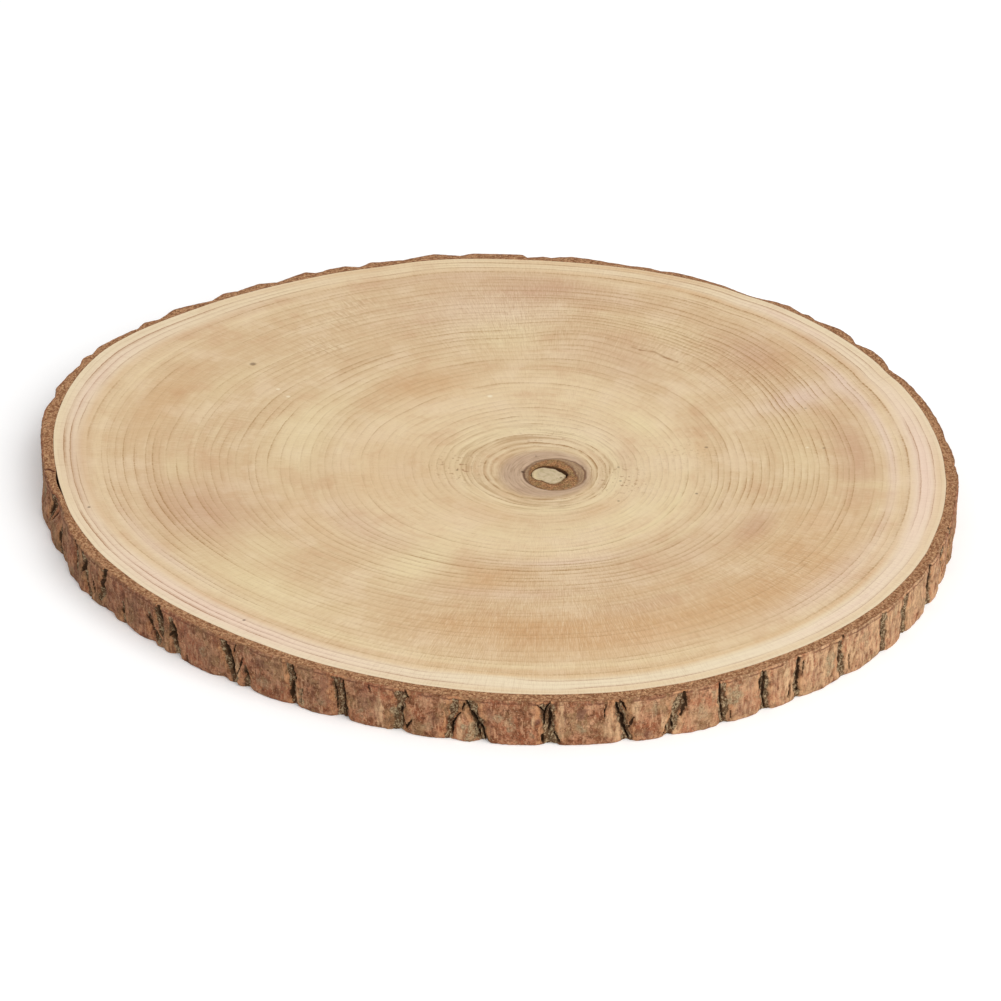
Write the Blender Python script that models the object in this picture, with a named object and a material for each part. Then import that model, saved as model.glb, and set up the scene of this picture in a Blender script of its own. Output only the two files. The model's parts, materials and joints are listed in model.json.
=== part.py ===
"""A slice cut straight across a tree trunk: the wood, the bark round it and the pith in it.

Metres and degrees, +Z up. The slice lies flat, with its underside at z = 0 and the middle
of its box on the Z axis. Angles turn from +X towards +Y and are measured round the pith.
"""
import math
import random

import bmesh
import bpy

THICKNESS = 0.020
SEAM = 0.0003

# Reach of the wood from the pith, at even steps right round the slice
WOOD_REACH = (
    0.1706, 0.1747, 0.1808, 0.1893, 0.1985, 0.2061, 0.2120, 0.2196,
    0.2230, 0.2287, 0.2340, 0.2248, 0.2116, 0.2016, 0.1913, 0.1829,
    0.1786, 0.1769, 0.1763, 0.1753, 0.1728, 0.1712, 0.1696, 0.1689,
)
# Depth of the bark outside the wood, at the same steps
BARK_DEPTH = (
    0.0049, 0.0047, 0.0049, 0.0051, 0.0036, 0.0038, 0.0048, 0.0066,
    0.0060, 0.0048, 0.0054, 0.0062, 0.0058, 0.0061, 0.0056, 0.0060,
    0.0057, 0.0062, 0.0064, 0.0066, 0.0055, 0.0057, 0.0059, 0.0055,
)
WOOD_SIDES = 144

PITH_RADIUS = 0.0078
PITH_SIDES = 48
PITH_OVAL = 0.035
PITH_CORNERS = 0.025
PITH_SUNK = 0.0009
PITH_CROWN = 0.0003
PITH_CROWN_REACH = 0.45

# Cracks between the bark's plates on the side that was studied closely:
# angle, width, depth, lean from foot to head, and the share of the height they span
STUDIED_CRACKS = (
    (-175.6, 0.0060, 0.0014, 0.8, 0.3, 1.0),
    (-170.4, 0.0044, 0.0012, -0.6, 0.0, 0.6),
    (-163.4, 0.0026, 0.0012, 0.0, 0.5, 1.0),
    (-160.8, 0.0036, 0.0013, -1.8, 0.1, 1.0),
    (-157.0, 0.0036, 0.0018, 1.6, 0.3, 1.0),
    (-147.8, 0.0034, 0.0016, -0.6, 0.1, 0.7),
    (-145.3, 0.0030, 0.0018, -0.6, 0.4, 1.0),
    (-142.9, 0.0034, 0.0015, -0.6, 0.0, 0.8),
    (-133.6, 0.0040, 0.0018, -1.6, 0.0, 1.0),
    (-131.0, 0.0026, 0.0013, 0.6, 0.0, 0.8),
    (-124.0, 0.0028, 0.0016, -0.4, 0.0, 1.0),
    (-117.4, 0.0046, 0.0020, -0.6, 0.0, 1.0),
    (-109.3, 0.0046, 0.0016, 0.8, 0.0, 1.0),
    (-102.6, 0.0028, 0.0017, 1.2, 0.1, 1.0),
    (-99.5, 0.0036, 0.0020, -1.6, 0.0, 0.9),
    (-90.7, 0.0050, 0.0018, -0.5, 0.0, 1.0),
    (-81.6, 0.0036, 0.0017, -1.7, 0.0, 1.0),
    (-74.8, 0.0042, 0.0018, 1.6, 0.0, 1.0),
    (-68.3, 0.0038, 0.0015, -0.4, 0.0, 1.0),
    (-62.2, 0.0040, 0.0016, -0.8, 0.0, 1.0),
    (-56.9, 0.0030, 0.0016, -0.2, 0.0, 1.0),
    (-49.2, 0.0036, 0.0015, -1.4, 0.1, 1.0),
    (-40.3, 0.0036, 0.0013, -0.4, 0.0, 1.0),
    (-34.8, 0.0052, 0.0015, -0.2, 0.0, 1.0),
    (-26.6, 0.0060, 0.0017, -0.6, 0.0, 1.0),
    (-20.8, 0.0042, 0.0014, 0.3, 0.0, 1.0),
    (-15.4, 0.0046, 0.0015, 0.0, 0.0, 1.0),
)
# Cracks on the far side, of which only the heads show: their angles
FAR_CRACKS = (
    -9.0, -3.0, 3.0, 10.3, 16.5, 22.5, 28.0, 32.2, 40.9, 49.8, 60.8, 67.0, 74.5, 78.8, 83.5,
    89.0, 92.2, 96.5, 100.7, 107.5, 113.4, 118.8, 124.0, 128.5, 133.0, 140.5, 143.6, 147.5, 151.3,
    154.2, 162.0, 168.0, 174.0,
)
CRACK_WIDTH = (0.0026, 0.0046)
CRACK_DEPTH = (0.0012, 0.0019)
CRACK_LEAN = (-1.3, 1.3)
CRACK_FEET = (0.0, 0.0, 0.0, 0.35)
CRACK_HEADS = (1.0, 1.0, 0.7)
CRACK_DEEPEST = 0.62
CRACK_FADE = 0.2
CRACK_WANDER = 0.16

PLATE_COLUMN = 0.0062
PLATE_CROWN = 0.0007
PLATE_STEP = 0.0006
PLATE_ROUGH = 0.00022
BARK_ROWS = (0.0, 0.07, 0.29, 0.5, 0.71, 0.93, 1.0)
RIM_WEAR = 0.0004

# A short stretch where the dried bark has come away from the wood
PARTING_ANGLE = -177.9
PARTING_HALF = 4.2
PARTING_WIDTH = 0.0010

SEED = 7

WOOD_COLOUR = (0.72, 0.54, 0.31, 1.0)
BARK_COLOUR = (0.29, 0.135, 0.075, 1.0)
PITH_COLOUR = (0.56, 0.47, 0.31, 1.0)
WOOD_ROUGHNESS = 0.6
BARK_ROUGHNESS = 0.9
PITH_ROUGHNESS = 0.85
SHARP_EDGE = 38.0


def clear_scene():
    for thing in list(bpy.data.objects):
        bpy.data.objects.remove(thing, do_unlink=True)


def round_value(values, degrees):
    """Read evenly spaced values as one smooth closed curve."""
    place = (degrees % 360.0) / 360.0 * len(values)
    first = int(place)
    t = place - first
    a, b, c, d = (values[(first + k) % len(values)] for k in (-1, 0, 1, 2))
    return b + 0.5 * t * (c - a + t * (2 * a - 5 * b + 4 * c - d + t * (3 * (b - c) + d - a)))


def polar(degrees, radius, z):
    turn = math.radians(degrees)
    return (radius * math.cos(turn), radius * math.sin(turn), z)


def pith_edge(degrees):
    """Radius of the pith, which is only nearly round."""
    turn = math.radians(degrees)
    return PITH_RADIUS * (1.0 + PITH_OVAL * math.cos(2 * turn) + PITH_CORNERS * math.sin(3 * turn))


def even_turns(count):
    return [360.0 * k / count for k in range(count)]


def skin(name, loops, colour, roughness, ring):
    """Join loops of points into one closed body, as a ring or with both ends capped."""
    bm = bmesh.new()
    rows = [[bm.verts.new(point) for point in loop] for loop in loops]
    pairs = list(zip(rows, rows[1:]))
    if ring:
        pairs.append((rows[-1], rows[0]))
    else:
        bm.faces.new(reversed(rows[0]))
        bm.faces.new(rows[-1])
    for lower, upper in pairs:
        for i in range(len(lower)):
            j = (i + 1) % len(lower)
            bm.faces.new((lower[i], lower[j], upper[j], upper[i]))
    mesh = bpy.data.meshes.new(name)
    bm.to_mesh(mesh)
    bm.free()
    mesh.shade_smooth()
    mesh.set_sharp_from_angle(angle=math.radians(SHARP_EDGE))
    mesh.materials.append(finish(name, colour, roughness))
    body = bpy.data.objects.new(name, mesh)
    bpy.context.scene.collection.objects.link(body)
    return body


def finish(name, colour, roughness):
    material = bpy.data.materials.new(name)
    material.use_nodes = True
    shader = material.node_tree.nodes["Principled BSDF"]
    shader.inputs["Base Color"].default_value = colour
    shader.inputs["Roughness"].default_value = roughness
    shader.inputs["Metallic"].default_value = 0.0
    return material


def make_wood():
    """The disc of wood, with a hole down its middle that the pith fills."""
    turns = even_turns(WOOD_SIDES)
    edges = ((hole_edge, 0.0), (wood_edge, 0.0), (wood_edge, THICKNESS), (hole_edge, THICKNESS))
    loops = [[polar(turn, edge(turn), z) for turn in turns] for edge, z in edges]
    return skin("wood", loops, WOOD_COLOUR, WOOD_ROUGHNESS, ring=True)


def wood_edge(degrees):
    return round_value(WOOD_REACH, degrees)


def hole_edge(degrees):
    return pith_edge(degrees) + SEAM


def make_pith():
    """The soft plug in the middle, shrunk a little below both cut faces."""
    turns = even_turns(PITH_SIDES)
    levels = (
        (PITH_CROWN_REACH, PITH_SUNK - PITH_CROWN),
        (1.0, PITH_SUNK),
        (1.0, THICKNESS - PITH_SUNK),
        (PITH_CROWN_REACH, THICKNESS - PITH_SUNK + PITH_CROWN),
    )
    loops = [[polar(turn, share * pith_edge(turn), z) for turn in turns] for share, z in levels]
    return skin("pith", loops, PITH_COLOUR, PITH_ROUGHNESS, ring=False)


def all_cracks(draw):
    """Every crack round the rim, in order of angle."""
    cracks = list(STUDIED_CRACKS)
    for angle in FAR_CRACKS:
        width = draw.uniform(*CRACK_WIDTH)
        depth = draw.uniform(*CRACK_DEPTH)
        lean = draw.uniform(*CRACK_LEAN)
        foot = draw.choice(CRACK_FEET)
        head = 1.0 if foot else draw.choice(CRACK_HEADS)
        cracks.append((angle, width, depth, lean, foot, head))
    return sorted(cracks)


def openness(height, foot, head):
    """How far a crack is open at a height, closing smoothly past its foot and head."""
    past = max(foot - height, height - head, 0.0)
    return max(0.0, 1.0 - past / CRACK_FADE)


def crack_columns(crack, draw):
    """A crack's left rim, floor and right rim: an angle and a depth for each row of the bark."""
    angle, width, depth, lean, foot, head = crack
    half = math.degrees(0.5 * width / wood_edge(angle))
    deepest = min(depth, CRACK_DEEPEST * round_value(BARK_DEPTH, angle))
    columns = [[], [], []]
    for height in BARK_ROWS:
        middle = angle + lean * (height - 0.5) + draw.uniform(-CRACK_WANDER, CRACK_WANDER)
        opened = openness(height, foot, head)
        columns[0].append((middle - half, 0.0))
        columns[1].append((middle, deepest * opened))
        columns[2].append((middle + half, 0.0))
    return columns


def plate_columns(left, right, draw):
    """The columns between the two rims of a plate, which stands out most in its middle."""
    turn = (right[0][0] - left[0][0]) % 360.0
    span = math.radians(turn) * wood_edge(left[0][0])
    count = max(1, round(span / PLATE_COLUMN))
    columns = []
    for k in range(1, count):
        share = k / count
        crown = PLATE_CROWN * math.sin(math.pi * share)
        column = []
        for (before, _), (after, _) in zip(left, right):
            angle = before + share * ((after - before) % 360.0)
            column.append((angle, -crown + draw.uniform(-PLATE_ROUGH, PLATE_ROUGH)))
        columns.append(column)
    return columns


def parting(degrees):
    """Extra gap where the bark has come away from the wood."""
    off = abs((degrees - PARTING_ANGLE + 180.0) % 360.0 - 180.0)
    return PARTING_WIDTH * 0.5 * (1.0 + math.cos(math.pi * min(1.0, off / PARTING_HALF)))


def bark_inside(degrees):
    return wood_edge(degrees) + SEAM + parting(degrees)


def bark_point(degrees, inset, row):
    """A point of the bark's outer face."""
    wear = RIM_WEAR if row in (0, len(BARK_ROWS) - 1) else 0.0
    reach = wood_edge(degrees) + round_value(BARK_DEPTH, degrees) - inset - wear
    return polar(degrees, reach, THICKNESS * BARK_ROWS[row])


def make_bark():
    """The ring of bark: plates that stand out between upright cracks."""
    draw = random.Random(SEED)
    columns = []
    cracks = [crack_columns(crack, draw) for crack in all_cracks(draw)]
    for crack, following in zip(cracks, cracks[1:] + cracks[:1]):
        floor, left_rim, right_rim = crack[1], crack[2], following[0]
        step = draw.uniform(-PLATE_STEP, PLATE_STEP)
        plate = [left_rim] + plate_columns(left_rim, right_rim, draw) + [right_rim]
        columns.append(floor)
        columns += [[(angle, inset + step) for angle, inset in column] for column in plate]
    rows = range(len(BARK_ROWS))
    outside = [[bark_point(*column[row], row) for column in columns] for row in rows]
    upright = [column[len(BARK_ROWS) // 2][0] for column in columns]
    under, over = [[polar(turn, bark_inside(turn), z) for turn in upright] for z in (0.0, THICKNESS)]
    return skin("bark", [under] + outside + [over], BARK_COLOUR, BARK_ROUGHNESS, ring=True)


def box_middle(body):
    """Middle of a body's box, seen from above."""
    xs = [vertex.co.x for vertex in body.data.vertices]
    ys = [vertex.co.y for vertex in body.data.vertices]
    return (0.5 * (min(xs) + max(xs)), 0.5 * (min(ys) + max(ys)))


def make_slice():
    bark = make_bark()
    middle_x, middle_y = box_middle(bark)
    growth = bpy.data.objects.new("growth_centre", None)
    growth.location = (-middle_x, -middle_y, 0.0)
    bpy.context.scene.collection.objects.link(growth)
    for body in (make_wood(), bark, make_pith()):
        body.parent = growth


clear_scene()
make_slice()
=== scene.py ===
"""Looks of a slice cut across a tree trunk: ringed wood, cracked bark and a soft pith.

Metres and degrees, +Z up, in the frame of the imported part: the slice lies flat on z = 0.
Angles turn from +X towards +Y round the pith, where every growth ring starts, and each
piece has its origin there. Age runs along a radius from 0 at the pith to 1 at the bark,
and is the same all along one growth ring. Small marks are given in millimetres.
"""

import json
import math
import random
from functools import cached_property

import bpy
import numpy as np
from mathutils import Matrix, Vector, noise

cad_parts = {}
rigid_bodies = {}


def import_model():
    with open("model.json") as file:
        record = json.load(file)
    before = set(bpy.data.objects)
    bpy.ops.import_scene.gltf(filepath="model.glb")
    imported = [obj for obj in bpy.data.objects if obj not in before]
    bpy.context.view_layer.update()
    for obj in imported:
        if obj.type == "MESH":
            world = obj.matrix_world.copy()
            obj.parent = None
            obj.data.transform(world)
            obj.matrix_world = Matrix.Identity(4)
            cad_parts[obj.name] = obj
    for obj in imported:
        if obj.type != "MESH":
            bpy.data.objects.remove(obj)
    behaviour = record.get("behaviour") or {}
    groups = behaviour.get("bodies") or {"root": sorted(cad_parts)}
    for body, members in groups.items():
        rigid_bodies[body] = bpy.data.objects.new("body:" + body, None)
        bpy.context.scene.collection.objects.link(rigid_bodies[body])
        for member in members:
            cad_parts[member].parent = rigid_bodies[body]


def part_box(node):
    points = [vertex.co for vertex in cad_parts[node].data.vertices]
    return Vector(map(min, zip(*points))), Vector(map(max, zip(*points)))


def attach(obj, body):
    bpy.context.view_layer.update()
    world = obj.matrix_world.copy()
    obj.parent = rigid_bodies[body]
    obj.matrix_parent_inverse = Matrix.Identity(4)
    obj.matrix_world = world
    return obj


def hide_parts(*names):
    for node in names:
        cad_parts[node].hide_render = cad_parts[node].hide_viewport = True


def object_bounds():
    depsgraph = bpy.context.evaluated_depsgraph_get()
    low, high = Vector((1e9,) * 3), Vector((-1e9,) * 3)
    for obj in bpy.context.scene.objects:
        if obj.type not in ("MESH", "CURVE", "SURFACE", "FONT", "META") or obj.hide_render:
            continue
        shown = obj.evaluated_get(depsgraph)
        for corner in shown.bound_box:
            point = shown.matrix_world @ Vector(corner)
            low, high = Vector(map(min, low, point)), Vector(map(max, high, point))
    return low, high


for thing in list(bpy.data.objects):
    bpy.data.objects.remove(thing, do_unlink=True)
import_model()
CAD_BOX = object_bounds()
THICKNESS = CAD_BOX[1].z
MM = 0.001

# Reach of the wood from the pith, at even steps right round the slice
WOOD_REACH = (
    0.1706, 0.1747, 0.1808, 0.1893, 0.1985, 0.2061, 0.2120, 0.2196,
    0.2230, 0.2287, 0.2340, 0.2248, 0.2116, 0.2016, 0.1913, 0.1829,
    0.1786, 0.1769, 0.1763, 0.1753, 0.1728, 0.1712, 0.1696, 0.1689,
)
# Depth of the bark outside the wood, at the same steps
BARK_DEPTH = (
    0.0049, 0.0047, 0.0049, 0.0051, 0.0036, 0.0038, 0.0048, 0.0066,
    0.0060, 0.0048, 0.0054, 0.0062, 0.0058, 0.0061, 0.0056, 0.0060,
    0.0057, 0.0062, 0.0064, 0.0066, 0.0055, 0.0057, 0.0059, 0.0055,
)
CAD_WOOD_SIDES = 144
WOOD_COLUMNS = 384
EDGE_WAVE = 0.00035
# Dents in the wood's edge: angle, reach in degrees, and depth
EDGE_DENTS = ((31.5, 2.5, 0.0007), (61.5, 3.0, 0.0010), (111.0, 4.0, 0.0013))

# Reach of the hole that the pith fills, at even steps, and how far the pith has shrunk in it
PITH_HOLE = (
    0.0083, 0.0081, 0.0077, 0.0074, 0.0076, 0.0080, 0.0081, 0.0086,
    0.0086, 0.0083, 0.0080, 0.0079, 0.0077, 0.0075, 0.0072, 0.0066,
    0.0060, 0.0067, 0.0079, 0.0084, 0.0082, 0.0078, 0.0077, 0.0080,
)
PITH_SHRUNK = (0.0012, 0.0013, 0.0011, 0.0003, 0.0003, 0.0002, 0.0008, 0.0006)
# The pith's ragged edge, its least gap, and how it is sunk, tilted, crowned, worn and rough
PITH_FRAY = 0.00025
PITH_CLEAR = 0.0002
PITH_SUNK = 0.0007
PITH_TILT = 0.0002
PITH_CROWN = 0.0003
PITH_DROP = 0.00018
PITH_ROUGH = 0.0001
PITH_COLUMNS = 120

# The corky ring round the pith: its middle, its reach, how dark its outline is,
# and how far out it is rusty, every 45 degrees
CORK_MIDDLE = (0.0024, 0.0)
CORK_REACH = (0.0134, 0.0140, 0.0145, 0.0139, 0.0134, 0.0136, 0.0142, 0.0140)
CORK_OUTLINE = (0.9, 0.8, 0.3, 0.5, 1.0, 0.9, 0.3, 0.4)
RUST_REACH = (0.68, 0.70, 0.92, 0.90, 0.84, 1.00, 0.98, 0.92)
MAUVE_REACH = (0.0186, 0.0204, 0.0220, 0.0234, 0.0224, 0.0226, 0.0212, 0.0204)
# How deep the cork is crumbled and outlined, the hole's lip worn, its wall rough, the saw's waves
CORK_CRUMBS = 0.00035
CORK_GROOVE = 0.0002
HOLE_LIP = 0.0003
HOLE_ROUGH = 0.00018
SAW_WAVE = 0.00004

# How far the growth rings stray outwards from scaled copies of the wood's edge, by age:
# thousandths of the reach, every 30 degrees from -180
RING_SECTIONS = (
    (0.00, (0, 0, 0, 0, 0, 0, 0, 0, 0, 0, 0, 0)),
    (0.18, (5, 5, 5, 0, 0, -5, -10, -5, 0, 5, 10, 0)),
    (0.35, (5, 20, 15, 5, -10, -20, -25, -15, 0, 20, 10, -10)),
    (0.50, (5, 30, 10, -20, -15, -20, -20, -10, 10, 30, 15, -20)),
    (0.66, (25, 25, 0, -40, -40, -35, -25, -10, 45, 50, 20, -10)),
    (0.82, (25, 10, 0, -20, -25, -25, -20, -15, 20, 30, 15, -10)),
    (0.93, (13, -5, -3, 0, -5, -8, -10, -3, 5, 15, 10, -10)),
    (1.00, (0, 0, 0, 0, 0, 0, 0, 0, 0, 0, 0, 0)),
)
# Short swells that the rings make on top of that: angle, age, reach in both, and height
RING_SWELLS = (
    (82, 0.66, 8, 0.16, 0.017),
    (99, 0.66, 8, 0.16, -0.015),
    (-99, 0.945, 5, 0.020, -0.013),
    (-90, 0.980, 4, 0.012, 0.006),
)

# Dark lines that end the years' growth: age, how dark, and how broad
YEAR_LINES = (
    (0.098, 0.35, 1.0), (0.113, 0.45, 1.0), (0.128, 0.80, 1.3), (0.151, 0.60, 1.0),
    (0.162, 0.70, 1.2), (0.184, 0.35, 1.0), (0.206, 0.48, 1.0), (0.221, 0.30, 1.0),
    (0.237, 0.48, 1.0), (0.255, 0.32, 1.0), (0.272, 0.52, 1.0), (0.289, 0.32, 1.0),
    (0.305, 0.46, 1.0), (0.323, 0.35, 1.0), (0.341, 0.38, 1.0), (0.358, 0.34, 1.0),
    (0.376, 0.62, 1.1), (0.400, 0.46, 1.0), (0.417, 0.36, 1.0), (0.434, 0.60, 1.0),
    (0.450, 0.60, 1.0), (0.464, 0.40, 1.0), (0.480, 0.70, 1.4), (0.500, 0.44, 1.0),
    (0.519, 0.56, 1.0), (0.535, 0.52, 1.0), (0.558, 0.58, 1.0), (0.579, 0.52, 1.0),
    (0.592, 0.52, 1.0), (0.614, 0.62, 1.2), (0.628, 0.38, 1.0), (0.643, 0.56, 1.0),
    (0.661, 0.52, 1.0), (0.678, 0.60, 1.0), (0.694, 0.48, 1.0), (0.706, 0.52, 1.0),
    (0.730, 0.60, 1.2), (0.751, 0.56, 1.0), (0.765, 0.36, 1.0), (0.779, 0.60, 1.2),
    (0.793, 0.52, 1.0), (0.818, 0.56, 1.0), (0.842, 0.62, 1.2), (0.860, 0.38, 1.0),
    (0.877, 0.66, 1.2), (0.890, 0.50, 1.0), (0.906, 0.38, 1.0), (0.922, 0.55, 1.8),
    (0.947, 0.80, 0.9), (0.962, 0.28, 0.8), (0.977, 0.95, 0.8), (0.990, 0.22, 0.7),
)
# How a line darkens slowly and ends at once: offset in age, and share of its darkness
LINE_SHAPE = ((-0.00924, 0.0), (-0.00168, 0.28), (0.0, 1.0), (0.0016, 0.0))
LINES_TO_A_RAMP = 7

# Where the lines stand out, or fade: angle, age, reach in both, and by how much
BOLD_STRETCHES = (
    (-95, 0.50, 45, 0.09, 0.7), (-10, 0.53, 24, 0.08, 0.6), (45, 0.69, 48, 0.06, 0.9),
    (62, 0.82, 34, 0.07, 0.8), (20, 0.79, 70, 0.012, 0.6), (-168, 0.78, 14, 0.10, 0.8),
    (126, 0.57, 54, 0.06, 0.5), (110, 0.23, 70, 0.05, 0.5), (0, 0.13, 180, 0.03, 0.9),
    (40, 0.918, 64, 0.022, 0.5), (-150, 0.962, 56, 0.022, 0.6), (0, 0.37, 180, 0.012, 0.3),
    (-172, 0.962, 30, 0.007, 1.8), (-170, 0.946, 40, 0.006, -0.9), (-38, 0.962, 24, 0.03, -0.20),
    (-130, 0.955, 26, 0.02, -0.12), (52, 0.960, 14, 0.02, -0.16), (157, 0.960, 14, 0.02, -0.20),
    (100, 0.965, 60, 0.02, 0.5), (180, 0.50, 34, 0.17, -0.20), (-60, 0.75, 20, 0.10, -0.12),
    (180, 0.29, 110, 0.07, -0.13),
)
PLAIN_BOLDNESS = 0.36

# Soft stains in the wood: angle, age, reach in both, and strength
STAINS = {
    "cream": (
        (0, 0.176, 180, 0.020, 0.9), (-45, 0.29, 18, 0.03, 0.7), (-72, 0.27, 30, 0.02, 0.4),
        (48, 0.32, 11, 0.035, 1.0), (-112, 0.30, 12, 0.035, 0.5), (-50, 0.372, 55, 0.009, 0.8),
        (-28, 0.35, 10, 0.04, 0.6), (-126, 0.50, 7, 0.12, 1.0), (99, 0.60, 7, 0.08, 0.8),
        (160, 0.51, 20, 0.07, 0.7), (-153, 0.67, 6, 0.06, 0.7), (-142, 0.80, 17, 0.07, 0.9),
        (150, 0.72, 9, 0.03, 0.5), (110, 0.21, 70, 0.03, 0.4), (-45, 0.457, 34, 0.010, 0.5),
        (-85, 0.895, 20, 0.012, 0.5), (-135, 0.885, 30, 0.02, 0.6), (-75, 0.93, 50, 0.012, 0.3),
        (-40, 0.935, 18, 0.012, 0.4), (-4, 0.81, 1.6, 0.07, 0.9), (179, 0.725, 4, 0.03, 0.8),
        (10, 0.66, 18, 0.06, 0.5), (67, 0.68, 9, 0.05, 0.5),
    ),
    "ochre": (
        (-105, 0.54, 10, 0.08, 0.8), (-100, 0.75, 17, 0.06, 0.9), (-75, 0.78, 17, 0.06, 1.0),
        (-50, 0.77, 11, 0.06, 0.7), (-33, 0.74, 6, 0.09, 0.8), (-20, 0.74, 7, 0.08, 0.6),
        (123, 0.43, 14, 0.06, 0.8), (158, 0.81, 11, 0.05, 0.6), (46, 0.78, 5, 0.11, 0.6),
        (-62, 0.63, 30, 0.03, 0.4), (-160, 0.52, 12, 0.05, 0.3), (-100, 0.912, 30, 0.010, 0.5),
        (18, 0.42, 9, 0.02, 0.5), (70, 0.99, 8, 0.012, 0.8), (30, 0.985, 6, 0.012, 0.4),
        (-50, 0.988, 46, 0.012, 1.2), (-10, 0.988, 18, 0.012, 1.1), (-85, 0.932, 45, 0.007, 0.7),
        (-88, 0.990, 22, 0.010, 0.7), (80, 0.935, 22, 0.008, 0.4), (165, 0.935, 26, 0.009, 0.5),
        (82, 0.988, 9, 0.010, 0.8), (120, 0.988, 12, 0.010, 0.6), (-40, 0.84, 18, 0.05, 0.6),
        (-85, 0.84, 22, 0.05, 0.4), (-172, 0.33, 14, 0.12, 0.4), (165, 0.28, 18, 0.12, 0.35),
        (-130, 0.22, 30, 0.06, 0.5), (-58, 0.21, 22, 0.05, 0.5), (38, 0.932, 8, 0.007, 0.6),
        (68, 0.932, 8, 0.007, 0.7), (-142, 0.930, 10, 0.008, 0.8), (-36, 0.928, 16, 0.007, 0.9),
        (-28, 0.905, 12, 0.006, 0.5),
    ),
    "rose": (
        (-60, 0.53, 30, 0.09, 0.4), (-27, 0.60, 8, 0.04, 0.7), (8, 0.80, 15, 0.05, 0.8),
        (50, 0.75, 9, 0.10, 0.8), (73, 0.53, 12, 0.08, 0.5), (88, 0.83, 15, 0.07, 0.8),
        (-168, 0.73, 11, 0.12, 0.9), (78, 0.86, 6, 0.04, -0.3), (176, 0.955, 12, 0.03, 0.7),
        (48, 0.93, 12, 0.02, 0.5), (-72, 0.70, 10, 0.04, 0.4), (105, 0.90, 16, 0.03, 0.5),
        (135, 0.93, 14, 0.02, 0.5), (-172, 0.958, 18, 0.009, 0.6),
    ),
    "blush": (
        (32, 0.74, 4, 0.11, 1.0), (31, 0.87, 10, 0.02, 0.6), (14, 0.885, 32, 0.012, 0.9),
        (-38, 0.88, 16, 0.035, 0.55), (-100, 0.60, 16, 0.03, 0.3), (100, 0.72, 14, 0.10, 0.4),
        (157, 0.962, 14, 0.018, 0.7), (52, 0.960, 9, 0.016, 0.7), (-45, 0.962, 14, 0.016, 0.5),
        (0, 0.955, 30, 0.03, 1.0), (-140, 0.962, 26, 0.03, 0.9), (-157, 0.885, 14, 0.02, 0.7),
        (-150, 0.45, 16, 0.05, 0.3), (-85, 0.44, 22, 0.02, 0.5), (50, 0.20, 60, 0.05, 0.2),
    ),
}
STAIN_TINTS = {
    "cream": (238, 221, 174), "ochre": (206, 157, 104),
    "rose": (197, 152, 124), "blush": (234, 208, 194),
}
# How tan the wood is by age
TAN_TONES = (
    (0.00, 0.5), (0.13, 0.5), (0.16, 0.3), (0.19, 0.0), (0.38, 0.0), (0.45, 0.5), (0.52, 0.4),
    (0.58, 0.6), (0.66, 0.65), (0.82, 0.65), (0.88, 0.45), (0.90, 0.1), (0.915, 0.4), (0.93, 0.0),
)
# How pale the young wood under the bark is, every 30 degrees from -180
SAPWOOD_PALENESS = (0.35, 0.75, 0.85, 0.90, 1.00, 1.00, 0.80, 0.60, 0.60, 0.20, 0.30, 0.65)

# Patches torn by the saw: x, y, reach and strength
TORN_PATCHES = (
    (-103.8, 122.4, 9, 0.9), (-99, 117.4, 7, 0.7), (-95.6, 148.1, 9, 0.8), (-89.2, 163.8, 9, 0.8),
    (60, 120, 22, 0.5), (-20, 150, 34, 0.5), (90, 90, 22, 0.4), (-140, 40, 24, 0.2),
    (20, -110, 46, 0.42), (-50, -125, 40, 0.28), (100, -80, 36, 0.48),
)
# Patches with open pits in the wood: x, y, reach and strength
PITTED_PATCHES = ((-39, 6, 11, 1.0), (29, -6, 12, 0.9), (0, 32, 16, 0.4), (60, 20, 16, 0.3))
# Small dark specks and pale flecks: the same
SPECKS = (
    (-133.5, 103.4, 2.0, 0.6), (-39.6, 3.7, 0.8, 0.6), (120.0, 23.5, 0.9, 0.5),
    (-195.0, -28.7, 0.9, 0.7), (-123.7, -120.7, 0.9, 0.7), (-5.5, 16.2, 0.7, 0.5),
    (68.8, 24.1, 1.1, 0.5), (62.6, -17.1, 0.9, 0.6), (114.7, 60.5, 0.8, 0.4), (30.0, 6.3, 0.8, 0.5),
    (30.5, -6.0, 0.8, 0.5), (29.2, -23.5, 0.8, 0.5), (-11.3, 2.2, 1.1, 1.0),
)
PALE_FLECKS = (
    (-25.6, 72.1, 1.6, 0.7), (-120.7, 78.8, 1.3, 0.6), (-115.8, 71.7, 1.3, 0.6), (112.8, 24.1, 1.0, 0.5),
)
# A fine crack beside a knot, point by point
KNOT_CRACK = ((39.5, 120.4), (43.0, 117.4), (49.8, 115.4), (53.7, 110.3), (59.5, 105.4))

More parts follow.
